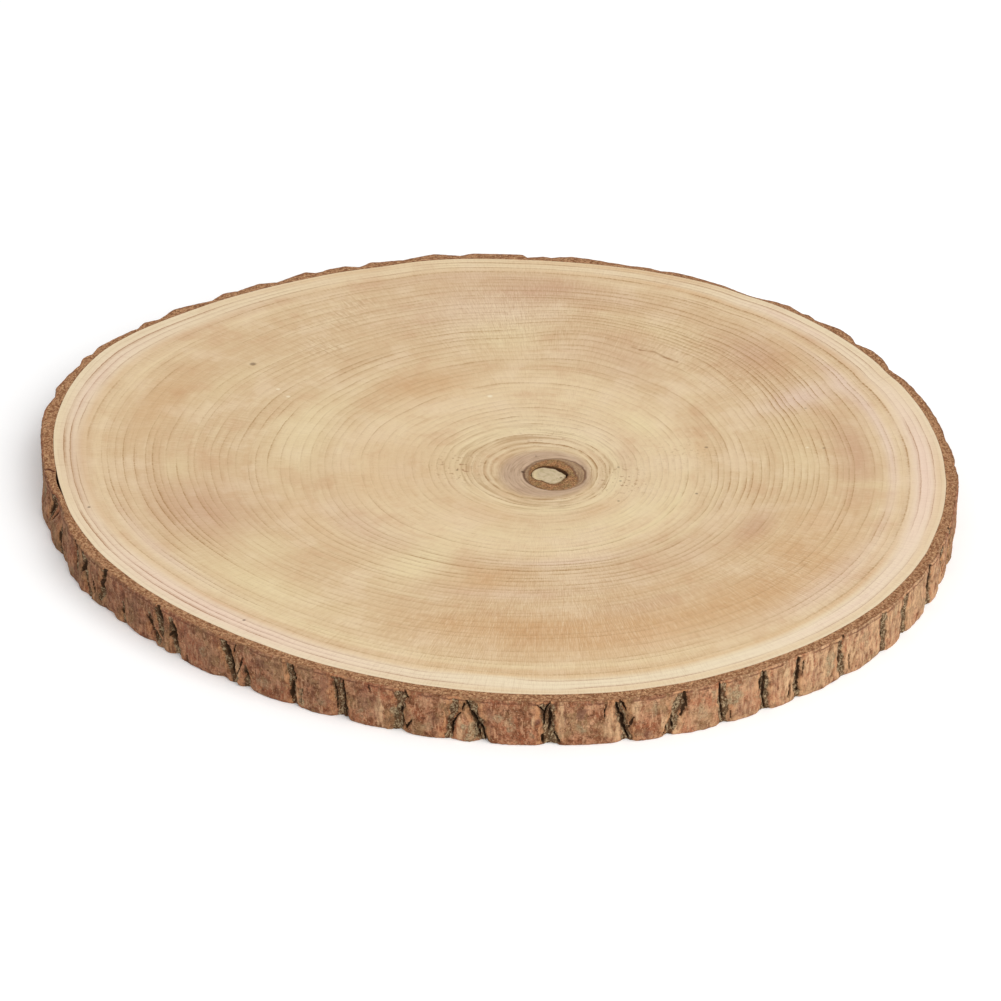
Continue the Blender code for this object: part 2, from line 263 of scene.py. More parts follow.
# Cracks between the bark's plates on the side that was studied closely:
# angle, width, depth, lean from foot to head, and the share of the height they span
STUDIED_CRACKS = (
    (-175.6, 0.0064, 0.0014, 0.8, 0.35, 0.95),
    (-170.4, 0.0044, 0.0012, -0.6, 0.1, 0.6),
    (-163.4, 0.0026, 0.0012, 0.0, 0.5, 1.0),
    (-160.8, 0.0036, 0.0013, -1.8, 0.1, 1.0),
    (-157.0, 0.0036, 0.0018, 1.6, 0.3, 1.0),
    (-152.6, 0.0014, 0.0008, 0.0, 0.1, 0.4),
    (-146.9, 0.0038, 0.0016, -2.4, 0.2, 0.55),
    (-145.2, 0.0034, 0.0018, -0.8, 0.45, 1.0),
    (-142.9, 0.0038, 0.0015, -0.6, 0.0, 0.75),
    (-133.6, 0.0040, 0.0018, -1.6, 0.0, 1.0),
    (-131.0, 0.0024, 0.0013, 0.6, 0.0, 0.4),
    (-124.0, 0.0028, 0.0016, -0.4, 0.0, 1.0),
    (-117.4, 0.0046, 0.0020, -0.6, 0.0, 1.0),
    (-109.3, 0.0046, 0.0016, 0.8, 0.0, 1.0),
    (-102.6, 0.0028, 0.0017, 1.2, 0.1, 1.0),
    (-99.5, 0.0036, 0.0020, -1.6, 0.0, 0.9),
    (-90.7, 0.0050, 0.0018, -0.5, 0.0, 1.0),
    (-81.6, 0.0036, 0.0017, -1.7, 0.0, 1.0),
    (-74.8, 0.0042, 0.0018, 1.6, 0.0, 1.0),
    (-68.3, 0.0038, 0.0015, -0.4, 0.0, 1.0),
    (-62.2, 0.0040, 0.0016, -0.8, 0.0, 1.0),
    (-56.9, 0.0030, 0.0016, -0.2, 0.0, 1.0),
    (-49.2, 0.0036, 0.0015, -1.4, 0.1, 1.0),
    (-40.3, 0.0036, 0.0013, -0.4, 0.0, 1.0),
    (-34.8, 0.0052, 0.0015, -0.2, 0.0, 1.0),
    (-26.6, 0.0060, 0.0017, -0.6, 0.0, 1.0),
    (-20.8, 0.0042, 0.0014, 0.3, 0.0, 1.0),
    (-15.4, 0.0046, 0.0015, 0.0, 0.0, 1.0),
)
# Cracks on the far side, of which only the heads show: their angles
FAR_CRACKS = (
    -9.0, -3.0, 3.0, 10.3, 16.5, 22.5, 28.0, 32.2, 40.9, 49.8, 52.2, 60.8, 67.0, 74.5, 78.8, 83.5,
    89.0, 92.2, 96.5, 100.7, 107.5, 113.4, 118.8, 124.0, 128.5, 133.0, 140.5, 143.6, 147.5, 151.3,
    154.2, 162.0, 168.0, 174.0,
)
# How far the bark's edge stands in or out there: angle, and millimetres
FAR_RIM = (
    (-12, 0.5), (-8, 0.2), (0, 1.2), (3, 0.4), (5.5, 0.8), (10.3, -0.3), (13, 0.3), (22, 0.2),
    (28, -0.3), (32.2, -1.5), (34.5, 0.1), (38, 0.5), (40.9, -2.3), (43, 0.2), (45.2, 0.8),
    (47.5, -0.5), (49.8, -1.9), (51.2, -0.2), (52.2, -1.4), (54.7, 0.7), (57, -0.2), (60.8, -2.1),
    (63, -1.3), (67, -0.2), (72.3, 1.0), (74.5, -0.2), (76.8, 0.8), (78.8, -0.5), (83, 1.3),
    (86.3, 2.6), (89, -0.1), (90.2, 0.5), (92.2, -1.6), (92.6, 1.4), (99, 0.8), (100.7, -1.8),
    (103.6, 0.6), (107.5, -2.4), (111.6, 0.4), (113.4, -3.0), (114.8, 0.1), (117, -0.2), (118.8, -1.4),
    (119.8, 1.6), (124, -1.8), (126, 1.3), (129, -0.2), (130.6, 1.3), (133, -1.6), (137.5, 2.0),
    (140.5, -1.8), (142.2, 0.4), (143.6, -2.2), (147.5, -1.0), (149.5, -0.3), (151.3, -1.6),
    (152.7, 0.0), (154.2, -1.6), (158, 0.0), (160, 0.7), (162, -1.1), (164.5, 1.0), (172, 0.1), (180, 0.0),
)
# At the left end the bark bulges at its foot, and a piece of its head is gone:
# degrees on from the left end towards the front, and millimetres
FOOT_BULGE = (
    (-6, 0), (-3, 0.2), (-1.5, 1.2), (0, 2.2), (2, 2.0), (4, 0.8), (6, 1.4), (8, 0.8), (10, -0.2),
    (12, -0.9), (14, 0.5), (16, 1.1), (18, 1.1), (20, 0.6), (23, 0),
)
HEAD_GONE = ((0, 0), (2.5, 0.4), (4.2, 1.2), (5.8, 2.6), (9, 2.4), (11.5, 0.8), (14, 0.3), (16, 0))
# Notches in the foot between plates: angle, reach in degrees, and millimetres
FOOT_NOTCHES = (
    (-155.5, 0.9, 1.5), (-146.5, 0.8, 1.0), (-142.8, 0.8, 0.8), (-134.9, 1.0, 1.5), (-131.0, 0.8, 1.0),
    (-117.5, 0.9, 1.1), (-109.0, 0.9, 0.7), (-99.0, 0.8, 0.9), (-81.5, 0.8, 0.6), (-76.0, 0.8, 0.6),
)
# Ranges and choices that the cracks on the far side are drawn from
CRACK_WIDTH = (0.0026, 0.0046)
CRACK_DEPTH = (0.0012, 0.0019)
CRACK_LEAN = (-1.3, 1.3)
CRACK_FEET = (0.0, 0.0, 0.0, 0.35)
CRACK_HEADS = (1.0, 1.0, 0.7)
# How far cracks fade out past their ends, how deep they may be, and how they stray and fray
CRACK_FADE = 0.2
CRACK_DEEPEST = 0.62
CRACK_SWAY = 0.0006
CLEFT_SWAY = 0.0003
WARP = 0.0005
FINE_WARP = 0.0003
SEED = 7

# Dark clefts in and beside those cracks: angle and height of the foot, angle and height
# of the head, and breadth
CLEFTS = (
    (-176.8, 13.5, -178.0, 17.5, 2.0), (-176.3, 8.5, -175.7, 16.0, 2.2), (-175.2, 6.5, -174.8, 17.5, 2.6),
    (-174.2, 9.5, -173.5, 15.0, 1.9), (-170.8, 4.0, -171.0, 10.0, 2.2), (-169.8, 3.0, -169.9, 8.0, 2.0),
    (-163.4, 15.5, -164.0, 19.5, 2.2), (-161.8, 10, -160.4, 18, 3.0), (-161.6, 10.5, -160.2, 9, 1.5),
    (-158.7, 5, -159.2, 11.5, 2.4), (-167.6, 4, -167.4, 8, 1.8), (-166.0, 13.5, -165.0, 14.5, 0.8),
    (-152.2, 12, -152.4, 16, 0.7), (-157.4, 9.5, -156.2, 20, 3.4), (-152.7, 4.5, -153.0, 6.5, 1.6),
    (-146.2, 5, -147.8, 11.5, 2.6), (-146.9, 3.5, -147.2, 6, 0.8), (-143.7, 8.5, -143.4, 10.5, 1.4),
    (-142.2, 8, -142.5, 12.5, 1.2), (-144.7, 9.5, -145.4, 20, 3.0), (-142.8, 4, -143.1, 16, 2.0),
    (-140.7, 1, -140.7, 4, 1.2), (-133.2, 5, -133.9, 18.5, 3.4), (-132.8, 15, -132.4, 19, 0.9),
    (-132.6, 4, -131.3, 14, 0.9), (-131.1, 4, -131.2, 8.5, 1.2), (-123.5, 12.5, -124.0, 20, 1.1),
    (-124.4, 3, -124.1, 10.5, 1.3), (-122.9, 3, -122.6, 9, 0.7), (-116.9, 2, -116.8, 18, 1.6),
    (-118.0, 4, -118.0, 18, 0.6), (-113.2, 16, -113.3, 18.5, 0.8), (-109.2, 8.5, -109.1, 11, 1.4),
    (-108.1, 16.5, -108.5, 20, 1.0), (-108.5, 2.5, -109.0, 6.5, 0.8), (-108.4, 2.5, -107.8, 6.5, 0.8),
    (-102.6, 3, -102.6, 7, 1.0), (-102.6, 7, -101.6, 13, 1.0), (-101.3, 15, -100.8, 18.5, 0.9),
    (-100.3, 13.5, -100.7, 18.5, 1.0), (-99.6, 9.5, -100.3, 13.5, 1.2), (-98.8, 5.5, -99.6, 9.5, 1.1),
    (-99.2, 2, -99.5, 8, 0.8), (-98.5, 0.5, -98.8, 5.5, 0.9), (-90.6, 6, -90.5, 17, 1.1),
    (-91.3, 9, -91.3, 15, 0.6), (-91.3, 15, -92.0, 18.5, 0.8), (-91.2, 15.5, -90.6, 19.5, 0.8),
    (-91.5, 1, -91.5, 4, 1.2), (-89.3, 1, -90.0, 5, 0.7), (-83.9, 13, -83.8, 19, 0.7),
    (-82.0, 13, -82.4, 18.5, 0.9), (-81.3, 5.5, -81.8, 13, 1.5), (-80.9, 1, -81.2, 5, 0.7),
    (-80.7, 6.5, -80.2, 11, 1.5), (-81.2, 15, -81.9, 19.5, 0.9), (-73.5, 14, -73.7, 19, 1.8),
    (-74.1, 8.5, -73.5, 14, 1.8), (-75.2, 3.5, -75.4, 9.5, 0.9), (-76.4, 1, -76.0, 4, 0.6),
    (-68.7, 14, -68.9, 20, 0.9), (-68.1, 3, -68.7, 14, 0.9), (-67.1, 1.5, -67.2, 4.5, 0.7),
    (-62.7, 11, -62.8, 16, 1.2), (-62.1, 14, -62.5, 19.5, 1.6), (-62.1, 7, -62.2, 13.5, 1.4),
    (-61.7, 1, -62.1, 7, 0.9), (-58.4, 2.5, -58.2, 7.5, 0.8), (-56.7, 9, -56.8, 19.5, 1.7),
    (-56.1, 10, -56.0, 17, 0.8), (-56.5, 3, -56.7, 9, 0.9), (-51.0, 2.5, -50.6, 7, 1.0),
    (-49.5, 15, -48.9, 19.5, 1.4), (-49.3, 6, -49.4, 15, 1.4), (-47.4, 3, -47.7, 9.5, 0.8),
    (-40.9, 14, -40.9, 19.5, 1.2), (-40.3, 8, -40.8, 13.5, 1.2), (-40.3, 1, -40.3, 8, 1.6),
    (-35.0, 9, -35.2, 15, 3.0), (-35.4, 1.5, -35.2, 9, 3.4), (-26.5, 4, -26.4, 19.5, 4.6),
    (-21.2, 7, -21.8, 19, 2.8), (-15.4, 4, -15.6, 20, 3.0),
)
OTHER_CLEFT_BREADTH = (0.8, 2.0)
# Height of the rim in millimetres, and its usual and least reach from the pith in metres
FULL_HEIGHT = 20.0
RIM_REACH = 0.19
LEAST_REACH = 0.17

# Patches on the bark: angle, height, half width, half height, strength
BARK_PATCHES = {
    "lichen": (
        (-137.7, 9.5, 2.4, 2.0, 0.6), (-128.0, 6, 3.6, 2.6, 0.4), (-122.7, 5, 1.3, 4.0, 0.8),
        (-119.8, 6, 1.8, 2.6, 0.4), (-114.6, 5, 2.0, 1.8, 1.0), (-110.0, 8.5, 1.7, 2.6, 0.9),
        (-105.6, 5, 2.0, 2.0, 0.4), (-100.4, 5, 2.6, 6.0, 0.9), (-97.0, 12, 2.0, 2.6, 0.6),
        (-95.3, 8, 1.6, 4.2, 0.6), (-92.8, 4, 0.9, 2.2, 0.5), (-86.8, 8, 1.8, 2.2, 0.7),
        (-77.6, 14, 1.2, 3.4, 0.5), (-75.0, 14.5, 1.4, 4.0, 0.7), (-71.3, 9, 2.2, 4.2, 0.6),
        (-69.8, 15, 1.1, 3.6, 0.8), (-66.8, 12, 4.2, 4.6, 1.0), (-61.8, 12, 1.0, 5.0, 0.6),
        (-58.8, 14, 1.0, 3.0, 0.4), (-51.5, 10.5, 2.4, 5.0, 0.9), (-44.6, 12, 2.6, 3.6, 0.6),
        (-38.0, 16, 1.6, 2.4, 0.5), (-35.0, 12, 1.6, 2.6, 0.5), (-28.0, 5, 3.0, 3.6, 0.5),
    ),
    "tan": (
        (-132.2, 9, 1.2, 6, 0.5), (-123.4, 6, 0.9, 4, 0.6), (-112.0, 8, 1.6, 9, 0.6),
        (-101.6, 6, 1.6, 6, 0.7), (-92.6, 9, 0.8, 4, 0.6), (-89.2, 10, 1.6, 9, 0.7),
        (-90.2, 3, 0.9, 2, 0.9), (-95.7, 10, 1.6, 1.6, 0.6), (-83.0, 9, 2.6, 8, 0.5),
        (-79.9, 14, 2.0, 5, 0.7), (-82.2, 4, 3.0, 4, 0.7), (-74.6, 4, 2.2, 4, 0.8), (-76.4, 6, 1.4, 3, 0.7),
        (-58.8, 11, 2.4, 6, 1.0), (-57.6, 10, 1.6, 7, 0.8), (-55.2, 15, 2.4, 5, 1.0),
        (-52.6, 12, 2.0, 5, 0.6), (-48.0, 13, 1.4, 6, 0.6), (-49.6, 3, 2.6, 3, 0.6),
        (-41.5, 9, 1.3, 9, 0.8), (-39.4, 9, 1.0, 9, 0.6), (-30.0, 8, 3.6, 7, 0.6), (-27.6, 17, 1.6, 4, 0.7),
        (-71.0, 9, 4.0, 7, 0.3), (-62.0, 10, 42, 30, 0.25), (-34.0, 10, 50, 30, 0.45),
        (-22.5, 9, 3.0, 8, 0.4), (-106.5, 16, 2.0, 3, 0.3),
    ),
    "plum": (
        (-128.3, 15, 2.2, 2.0, 0.8), (-152.4, 12, 1.2, 6, 0.5), (-121.0, 10, 1.4, 7, 0.4),
        (-119.4, 12, 2.4, 6, 0.5), (-113.6, 12, 3.6, 6, 0.5), (-112.4, 8, 0.9, 5, 0.6),
        (-92.0, 11.5, 1.3, 1.6, 0.8), (-88.7, 12, 0.5, 6, 0.7), (-86.7, 14, 2.4, 2.8, 0.9),
        (-78.5, 3, 1.8, 2.2, 0.7), (-105.0, 9, 2.6, 3, 0.5), (-97.8, 12, 1.2, 7, 0.5),
        (-64.4, 10, 1.2, 8, 0.5), (-60.6, 11, 2.2, 5, 0.4), (-53.7, 8, 2.4, 5, 0.6),
        (-38.4, 8, 2.0, 4, 0.7), (-44.4, 5, 3.0, 3, 0.3), (-65.5, 5, 4.0, 2.6, 0.6),
        (-163.0, 6, 6.0, 5, 0.4), (-135.0, 12.5, 0.9, 1.0, 0.7), (-150.0, 14, 4.0, 4, 0.4),
        (-35.0, 8, 2.0, 6, 0.4), (-45.2, 18, 5.0, 1.6, 0.4),
    ),
}
OTHER_PATCHES = {"lichen": 16, "tan": 26, "plum": 18}
# Painted light and shade on the bark, paler on the right and darker on the left: patch, angle, reach in
# degrees, strength
BARK_SIDE_LIGHT_AND_SHADE = (("tan", -45.0, 22.0, 0.48), ("plum", -142.0, 32.0, 0.55))
FAR_SIDE = (-9.0, 181.0)
STUDIED_MIDDLE = -92.0

# A short stretch where the dried bark has come away from the wood
PARTING_ANGLE = -177.9
PARTING_HALF = 4.2
PARTING_WIDTH = 0.0010
PARTING_CRACK = ((-217.0, 4.0), (-215.2, 4.4), (-213.3, 2.4))
BARK_SEAM = 0.0001

PLATE_CROWN = 0.0010
PLATE_STEP = 0.0003
BARK_TRIM = 0.0002
LEAST_BARK = 0.0009
# Relief of the bark: clefts, crusts, plates, the layers round them, and wear of both rims
CLEFT_DEPTH = 0.0016
CRUST_LUMPS = 0.0006
CRUST_GRIT = 0.0003
LICHEN_LUMPS = 0.0003
TAN_RIDGES = 0.0002
PLATE_WAVE = 0.00024
PLATE_GRIT = 0.00018
PLATE_LAYERS = 0.00007
FOOT_WEAR = 0.0005
HEAD_WEAR = 0.0006
SAWN_GRAIN = 0.00022
# Steps between the bark's columns, on the far side and where it was studied
COARSE_STEP = 0.00108
FINE_STEP = 0.00046
SHARP_EDGE = 50.0

CAMERA_BACK = 1.3600
CAMERA_LEFT = 0.0209
CAMERA_OVER_FACE = 0.7533
CAMERA_PITCH = 29.4
CAMERA_LENS = 130.05
FLOOR_REACH = 8.0
FLOOR_PARTS = 8
FLOOR_DROP = 0.0002
FLOOR_GLOW = 0.13
SKY_STRENGTH = 0.50
LAMP_PLACE = (3.1, -3.6, 4.8)
LAMP_SIZE = 6.4
LAMP_WATTS = 425.0
LAMP_COLOUR = (1.0, 0.99, 0.98)


def round_value(values, degrees):
    """Read evenly spaced values as one smooth closed curve."""
    table = np.asarray(values, float)
    place = (np.asarray(degrees, float) % 360.0) / 360.0 * len(table)
    first = np.floor(place).astype(int)
    t = place - first
    a, b, c, d = (table[(first + k) % len(table)] for k in (-1, 0, 1, 2))
    return b + 0.5 * t * (c - a + t * (2 * a - 5 * b + 4 * c - d + t * (3 * (b - c) + d - a)))


def turned(degrees, radius, z):
    """Points at these angles, distances from the pith and heights."""
    turn = np.radians(degrees)
    return np.stack(np.broadcast_arrays(radius * np.cos(turn), radius * np.sin(turn), z), axis=-1)


def full_turn(count):
    """Evenly spaced angles right round."""
    return np.arange(count) * 360.0 / count


def apart(degrees, other):
    """Signed turn from other to degrees, the short way round."""
    return (np.asarray(degrees) - other + 180.0) % 360.0 - 180.0


def smooth(value, low, high):
    """0 below low, 1 above high, and a smooth rise between."""
    t = np.clip((value - low) / (high - low), 0.0, 1.0)
    return t * t * (3.0 - 2.0 * t)


def fall(value, low, high):
    """1 below low, 0 above high, and a smooth fall between."""
    return 1.0 - smooth(value, low, high)


def bell(off, reach):
    """1 in the middle, and a soft fall to both sides."""
    return np.exp(-(off / reach) ** 2)


def grain(points, size, seed, octaves=1):
    """Natural unevenness of about -1 to 1, with features of a size for each axis."""
    shift = 17.3 * seed
    flat = np.asarray(points, float).reshape(-1, 3) / np.asarray(size) + shift
    if octaves > 1:
        made = [noise.fractal(Vector(place), 1.0, 2.0, octaves) for place in flat]
    else:
        made = [noise.noise(Vector(place)) for place in flat]
    return np.array(made).reshape(np.asarray(points).shape[:-1])


def wood_edge(degrees):
    """Reach of the wood, which waves a little in and out."""
    wave = grain(turned(degrees, 0.18, 0.0), 0.016, 9, octaves=2)
    dents = sum(depth * bell(apart(degrees, angle), reach) for angle, reach, depth in EDGE_DENTS)
    return round_value(WOOD_REACH, degrees) - EDGE_WAVE * (0.5 + 0.5 * wave) - dents


def growth_centre():
    """Where the pith's middle stands in the frame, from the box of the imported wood."""
    turns = full_turn(CAD_WOOD_SIDES)
    outline = turned(turns, round_value(WOOD_REACH, turns), 0.0)
    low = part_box("wood")[0]
    return Vector((low.x - outline[:, 0].min(), low.y - outline[:, 1].min(), 0.0))


def within_box(rows):
    """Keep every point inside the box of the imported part."""
    for axis in range(3):
        low = CAD_BOX[0][axis] - CENTRE[axis]
        high = CAD_BOX[1][axis] - CENTRE[axis]
        rows[..., axis] = np.clip(rows[..., axis], low, high)
    return rows


def stand(name, data, location=(0.0, 0.0, 0.0)):
    """Put a mesh, a lamp or a camera in the scene."""
    made = bpy.data.objects.new(name, data)
    made.location = location
    bpy.context.scene.collection.objects.link(made)
    return made


def woven(name, rows, qualities, capped=False):
    """A closed skin over rows of points that run right round, joined into a ring or capped."""
    count = rows.shape[1]
    verts = within_box(rows).reshape(-1, 3).tolist()
    pairs = [(k, k + 1) for k in range(len(rows) - 1)]
    if not capped:
        pairs.append((len(rows) - 1, 0))
    faces = []
    for lower, upper in pairs:
        for i in range(count):
            j = (i + 1) % count
            faces.append((lower * count + i, lower * count + j, upper * count + j, upper * count + i))
    if capped:
        verts += [rows[0].mean(axis=0).tolist(), rows[-1].mean(axis=0).tolist()]
        foot, head, last = len(verts) - 2, len(verts) - 1, (len(rows) - 1) * count
        for i in range(count):
            j = (i + 1) % count
            faces.append((foot, j, i))
            faces.append((head, last + i, last + j))
    mesh = bpy.data.meshes.new(name)
    mesh.from_pydata(verts, [], faces)
    mesh.validate()
    for quality, values in qualities.items():
        layer = mesh.attributes.new(quality, "FLOAT", "POINT")
        spread = np.zeros(len(verts), np.float32)
        spread[:values.size] = values.ravel()
        layer.data.foreach_set("value", spread)
    mesh.shade_smooth()
    mesh.set_sharp_from_angle(angle=math.radians(SHARP_EDGE))
    return stand(name, mesh, CENTRE)


def settle(piece, node, material):
    """Give a finished piece its material and let it stand for its node."""
    piece.data.materials.append(material)
    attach(piece, "root")
    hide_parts(node)


def ring_drift(degrees, share):
    """How far the rings stray outwards here from a scaled copy of the wood's edge."""
    ages = np.array([age for age, _ in RING_SECTIONS])
    strays = 0.001 * np.array([round_value(values, degrees + 180.0) for _, values in RING_SECTIONS])
    places = np.clip(np.interp(share, ages, np.arange(len(ages))), 0, len(ages) - 1.0001)
    k = np.floor(places).astype(int)
    columns = np.arange(len(degrees))
    drift = strays[k, columns] + (places - k) * (strays[k + 1, columns] - strays[k, columns])
    for angle, age, turn_reach, age_reach, height in RING_SWELLS:
        drift = drift + height * blot(degrees, share, angle, age, turn_reach, age_reach)
    return drift


def blot(degrees, age, angle, middle, turn_reach, age_reach):
    """A soft round patch, 1 at its middle."""
    return bell(apart(degrees, angle), turn_reach) * bell(age - middle, age_reach)


def blots(degrees, age, patches):
    """The strength of many soft patches together."""
    total = np.zeros_like(age)
    for angle, middle, turn_reach, age_reach, strength in patches:
        total += strength * blot(degrees, age, angle, middle, turn_reach, age_reach)
    return total


def pith_hole(degrees):
    return round_value(PITH_HOLE, degrees)


def ring_share(points, middle, reaches):
    """Distance from a middle as a share of the reach there, and the angle seen from it."""
    x = points[..., 0] - middle[0]
    y = points[..., 1] - middle[1]
    angle = np.degrees(np.arctan2(y, x))
    return np.hypot(x, y) / round_value(reaches, angle), angle


def face_rows(turns, shares, level, upwards):
    """One cut face of the wood, row by row, with the corky ring's crumbly relief."""
    hole = pith_hole(turns)
    edge = wood_edge(turns)
    rows = []
    for share in shares:
        radius = hole + share * (edge - hole)
        points = turned(turns, radius, level)
        cork, _ = ring_share(points, CORK_MIDDLE, CORK_REACH)
        corky = fall(cork, 0.90, 1.06)
        outline = bell(cork - 1.0, 0.035)
        crumbs = 0.5 + 0.5 * grain(points, 0.0011, 3, octaves=3)
        lip = bell(radius - hole, 0.0006)
        sunk = CORK_CRUMBS * corky * crumbs + CORK_GROOVE * outline + HOLE_LIP * lip
        sunk += SAW_WAVE * (1.0 + grain(points, 0.012, 5))
        points[..., 2] -= upwards * np.maximum(sunk, 0.0)
        rows.append(points)
    return rows


def make_wood():
    """The disc of wood: two sawn faces, the rim under the bark and the wall of the pith's hole."""
    turns = full_turn(WOOD_COLUMNS)
    fine = np.linspace(0.0, 0.11, 56)
    over_shares = np.concatenate([fine, np.linspace(0.11, 1.0, 92)[1:]])
    under_shares = np.concatenate([fine[::3], np.linspace(0.12, 1.0, 34)])
    under = face_rows(turns, under_shares, 0.0, -1.0)
    over = face_rows(turns, over_shares[::-1], THICKNESS, 1.0)
    rim = [turned(turns, wood_edge(turns), THICKNESS * h) for h in (0.03, 0.5, 0.97)]
    wall = []
    for h in (0.985, 0.96, 0.93, 0.88, 0.5, 0.12, 0.07, 0.04, 0.015):
        hole = pith_hole(turns)
        ragged = HOLE_ROUGH * grain(turned(turns, hole, THICKNESS * h), 0.0012, 8, octaves=2)
        wall.append(turned(turns, hole + ragged, THICKNESS * h))
    rows = np.array(under + rim + over + wall)
    share = np.hypot(rows[..., 0], rows[..., 1]) / wood_edge(turns)
    age = np.array([line - ring_drift(turns, line) for line in share])
    everywhere = np.broadcast_to(turns, age.shape)
    qualities = {"age": age, "depth": np.minimum(rows[..., 2], THICKNESS - rows[..., 2]) / MM}
    for kind, patches in STAINS.items():
        qualities[kind] = np.clip(blots(everywhere, age, patches), 0.0, 1.0)
    qualities["bold"] = PLAIN_BOLDNESS + blots(everywhere, age, BOLD_STRETCHES)
    qualities["tan"] = np.interp(age, *zip(*TAN_TONES))
    qualities["sap"] = np.broadcast_to(round_value(SAPWOOD_PALENESS, turns + 180.0), age.shape)
    qualities["torn"] = patchy(rows, TORN_PATCHES)
    qualities["pitted"] = patchy(rows, PITTED_PATCHES)
    qualities.update(middle_qualities(rows))
    settle(woven("wood_disc", rows, qualities), "wood", wood_finish())


def patchy(rows, patches):
    """How strong some soft round patches of the wood's face are here."""
    total = np.zeros(rows.shape[:-1])
    for x, y, reach, strength in patches:
        square = (rows[..., 0] / MM - x) ** 2 + (rows[..., 1] / MM - y) ** 2
        total += strength * np.exp(-square / reach ** 2)
    return np.clip(total, 0.0, 1.0)


def middle_qualities(rows):
    """What the wood is round the pith: corky ring, rusty part, stain and halo."""
    cork, angle = ring_share(rows, CORK_MIDDLE, CORK_REACH)
    mauve, turn = ring_share(rows, (0.0, 0.0), MAUVE_REACH)
    rusty = round_value(RUST_REACH, angle)
    halo = bell(mauve - 1.07, 0.035) * (0.55 + 0.45 * np.cos(np.radians(turn - 50.0)))
    return {
        "cork": cork,
        "rust": cork / rusty,
        "rusty_edge": np.clip(2.5 * (1.0 - rusty), 0.0, 1.0),
        "outline": np.clip(round_value(CORK_OUTLINE, angle), 0.0, 1.0),
        "mauve": mauve,
        "halo": halo,
    }


def make_pith():
    """The soft plug in the middle, shrunk from its hole and a little below both cut faces."""
    turns = full_turn(PITH_COLUMNS)
    edge = pith_hole(turns) - round_value(PITH_SHRUNK, turns)
    edge += PITH_FRAY * grain(turned(turns, edge, 0.0), 0.0016, 12, octaves=2)
    edge = np.minimum(edge, pith_hole(turns) - PITH_CLEAR)
    shares = (0.08, 0.18, 0.28, 0.38, 0.48, 0.58, 0.67, 0.75, 0.82, 0.88, 0.93, 0.97, 1.0)
    under = [pith_row(turns, share * edge, share, PITH_SUNK, -1.0) for share in shares]
    side = [turned(turns, edge, THICKNESS * h) for h in (0.25, 0.5, 0.75)]
    over = [pith_row(turns, share * edge, share, THICKNESS - PITH_SUNK, 1.0) for share in shares[::-1]]
    rows = np.array(under + side + over)
    share = np.hypot(rows[..., 0], rows[..., 1]) / edge
    settle(woven("pith_plug", rows, {"share": share}, capped=True), "pith", pith_finish())


def pith_row(turns, radius, share, level, upwards):
    """A ring of the plug's rough end, which stands highest in its middle and at its lower left."""
    points = turned(turns, radius, level)
    rough = PITH_ROUGH * grain(points, 0.0013, 11, octaves=3)
    crown = PITH_CROWN * (1.0 - share ** 2) - PITH_DROP * smooth(share, 0.9, 1.0)
    tilt = PITH_TILT * share * np.cos(np.radians(turns - 225.0))
    points[..., 2] += upwards * (crown + rough + tilt)
    return points


def all_cracks():
    """Every crack round the rim, in order of angle."""
    draw = random.Random(SEED)
    cracks = list(STUDIED_CRACKS)
    for angle in FAR_CRACKS:
        width = draw.uniform(*CRACK_WIDTH)
        depth = draw.uniform(*CRACK_DEPTH)
        lean = draw.uniform(*CRACK_LEAN)
        foot = draw.choice(CRACK_FEET)
        head = 1.0 if foot else draw.choice(CRACK_HEADS)
        cracks.append((angle, width, depth, lean, foot, head))
    return sorted(cracks)


def all_clefts(cracks):
    """Every dark cleft: the studied ones and a few in each of the other cracks."""
    draw = random.Random(SEED + 2)
    clefts = list(CLEFTS)
    for angle, width, _, lean, _, _ in cracks:
        if angle < FAR_SIDE[0]:
            continue
        for _ in range(draw.choice((1, 2, 2, 3))):
            side = draw.uniform(-0.45, 0.45) * math.degrees(width / RIM_REACH)
            foot = draw.uniform(0.5, 11.0)
            head = min(FULL_HEIGHT, foot + draw.uniform(4.0, 12.0))
            breadth = draw.uniform(*OTHER_CLEFT_BREADTH)
            low = angle + side + lean * (foot / FULL_HEIGHT - 0.5)
            high = angle + side + lean * (head / FULL_HEIGHT - 0.5) + draw.uniform(-0.5, 0.5)
            clefts.append((low, foot, high, head, breadth))
    return clefts


def all_patches(kind):
    """Every patch of one kind: the studied ones and others for the rest of the rim."""
    draw = random.Random(kind)
    patches = list(BARK_PATCHES[kind])
    for _ in range(OTHER_PATCHES[kind]):
        angle = draw.uniform(*FAR_SIDE)
        patches.append((angle, draw.uniform(3.0, 17.0), draw.uniform(1.0, 3.2),
                        draw.uniform(2.0, 7.0), draw.uniform(0.4, 1.0)))
    return patches


def bark_turns():
    """Angles of the bark's columns, closest together where the cracks are studied."""
    turns, angle = [], -180.0
    while angle < 180.0:
        turns.append(angle)
        fine = fall(abs(angle - STUDIED_MIDDLE), 82.0, 92.0)
        step = COARSE_STEP - (COARSE_STEP - FINE_STEP) * fine
        angle += math.degrees(step / (round_value(WOOD_REACH, angle) + 0.005))
    return np.array(turns[:-1])


def parting(degrees):
    """Extra gap where the bark has come away from the wood."""
    off = np.abs(apart(degrees, PARTING_ANGLE)) / PARTING_HALF
    return PARTING_WIDTH * 0.5 * (1.0 + np.cos(np.pi * np.minimum(1.0, off)))


def raise_to(layer, near, values):
    """Let a layer reach at least these values in some of its columns."""
    layer[:, near] = np.maximum(layer[:, near], values)


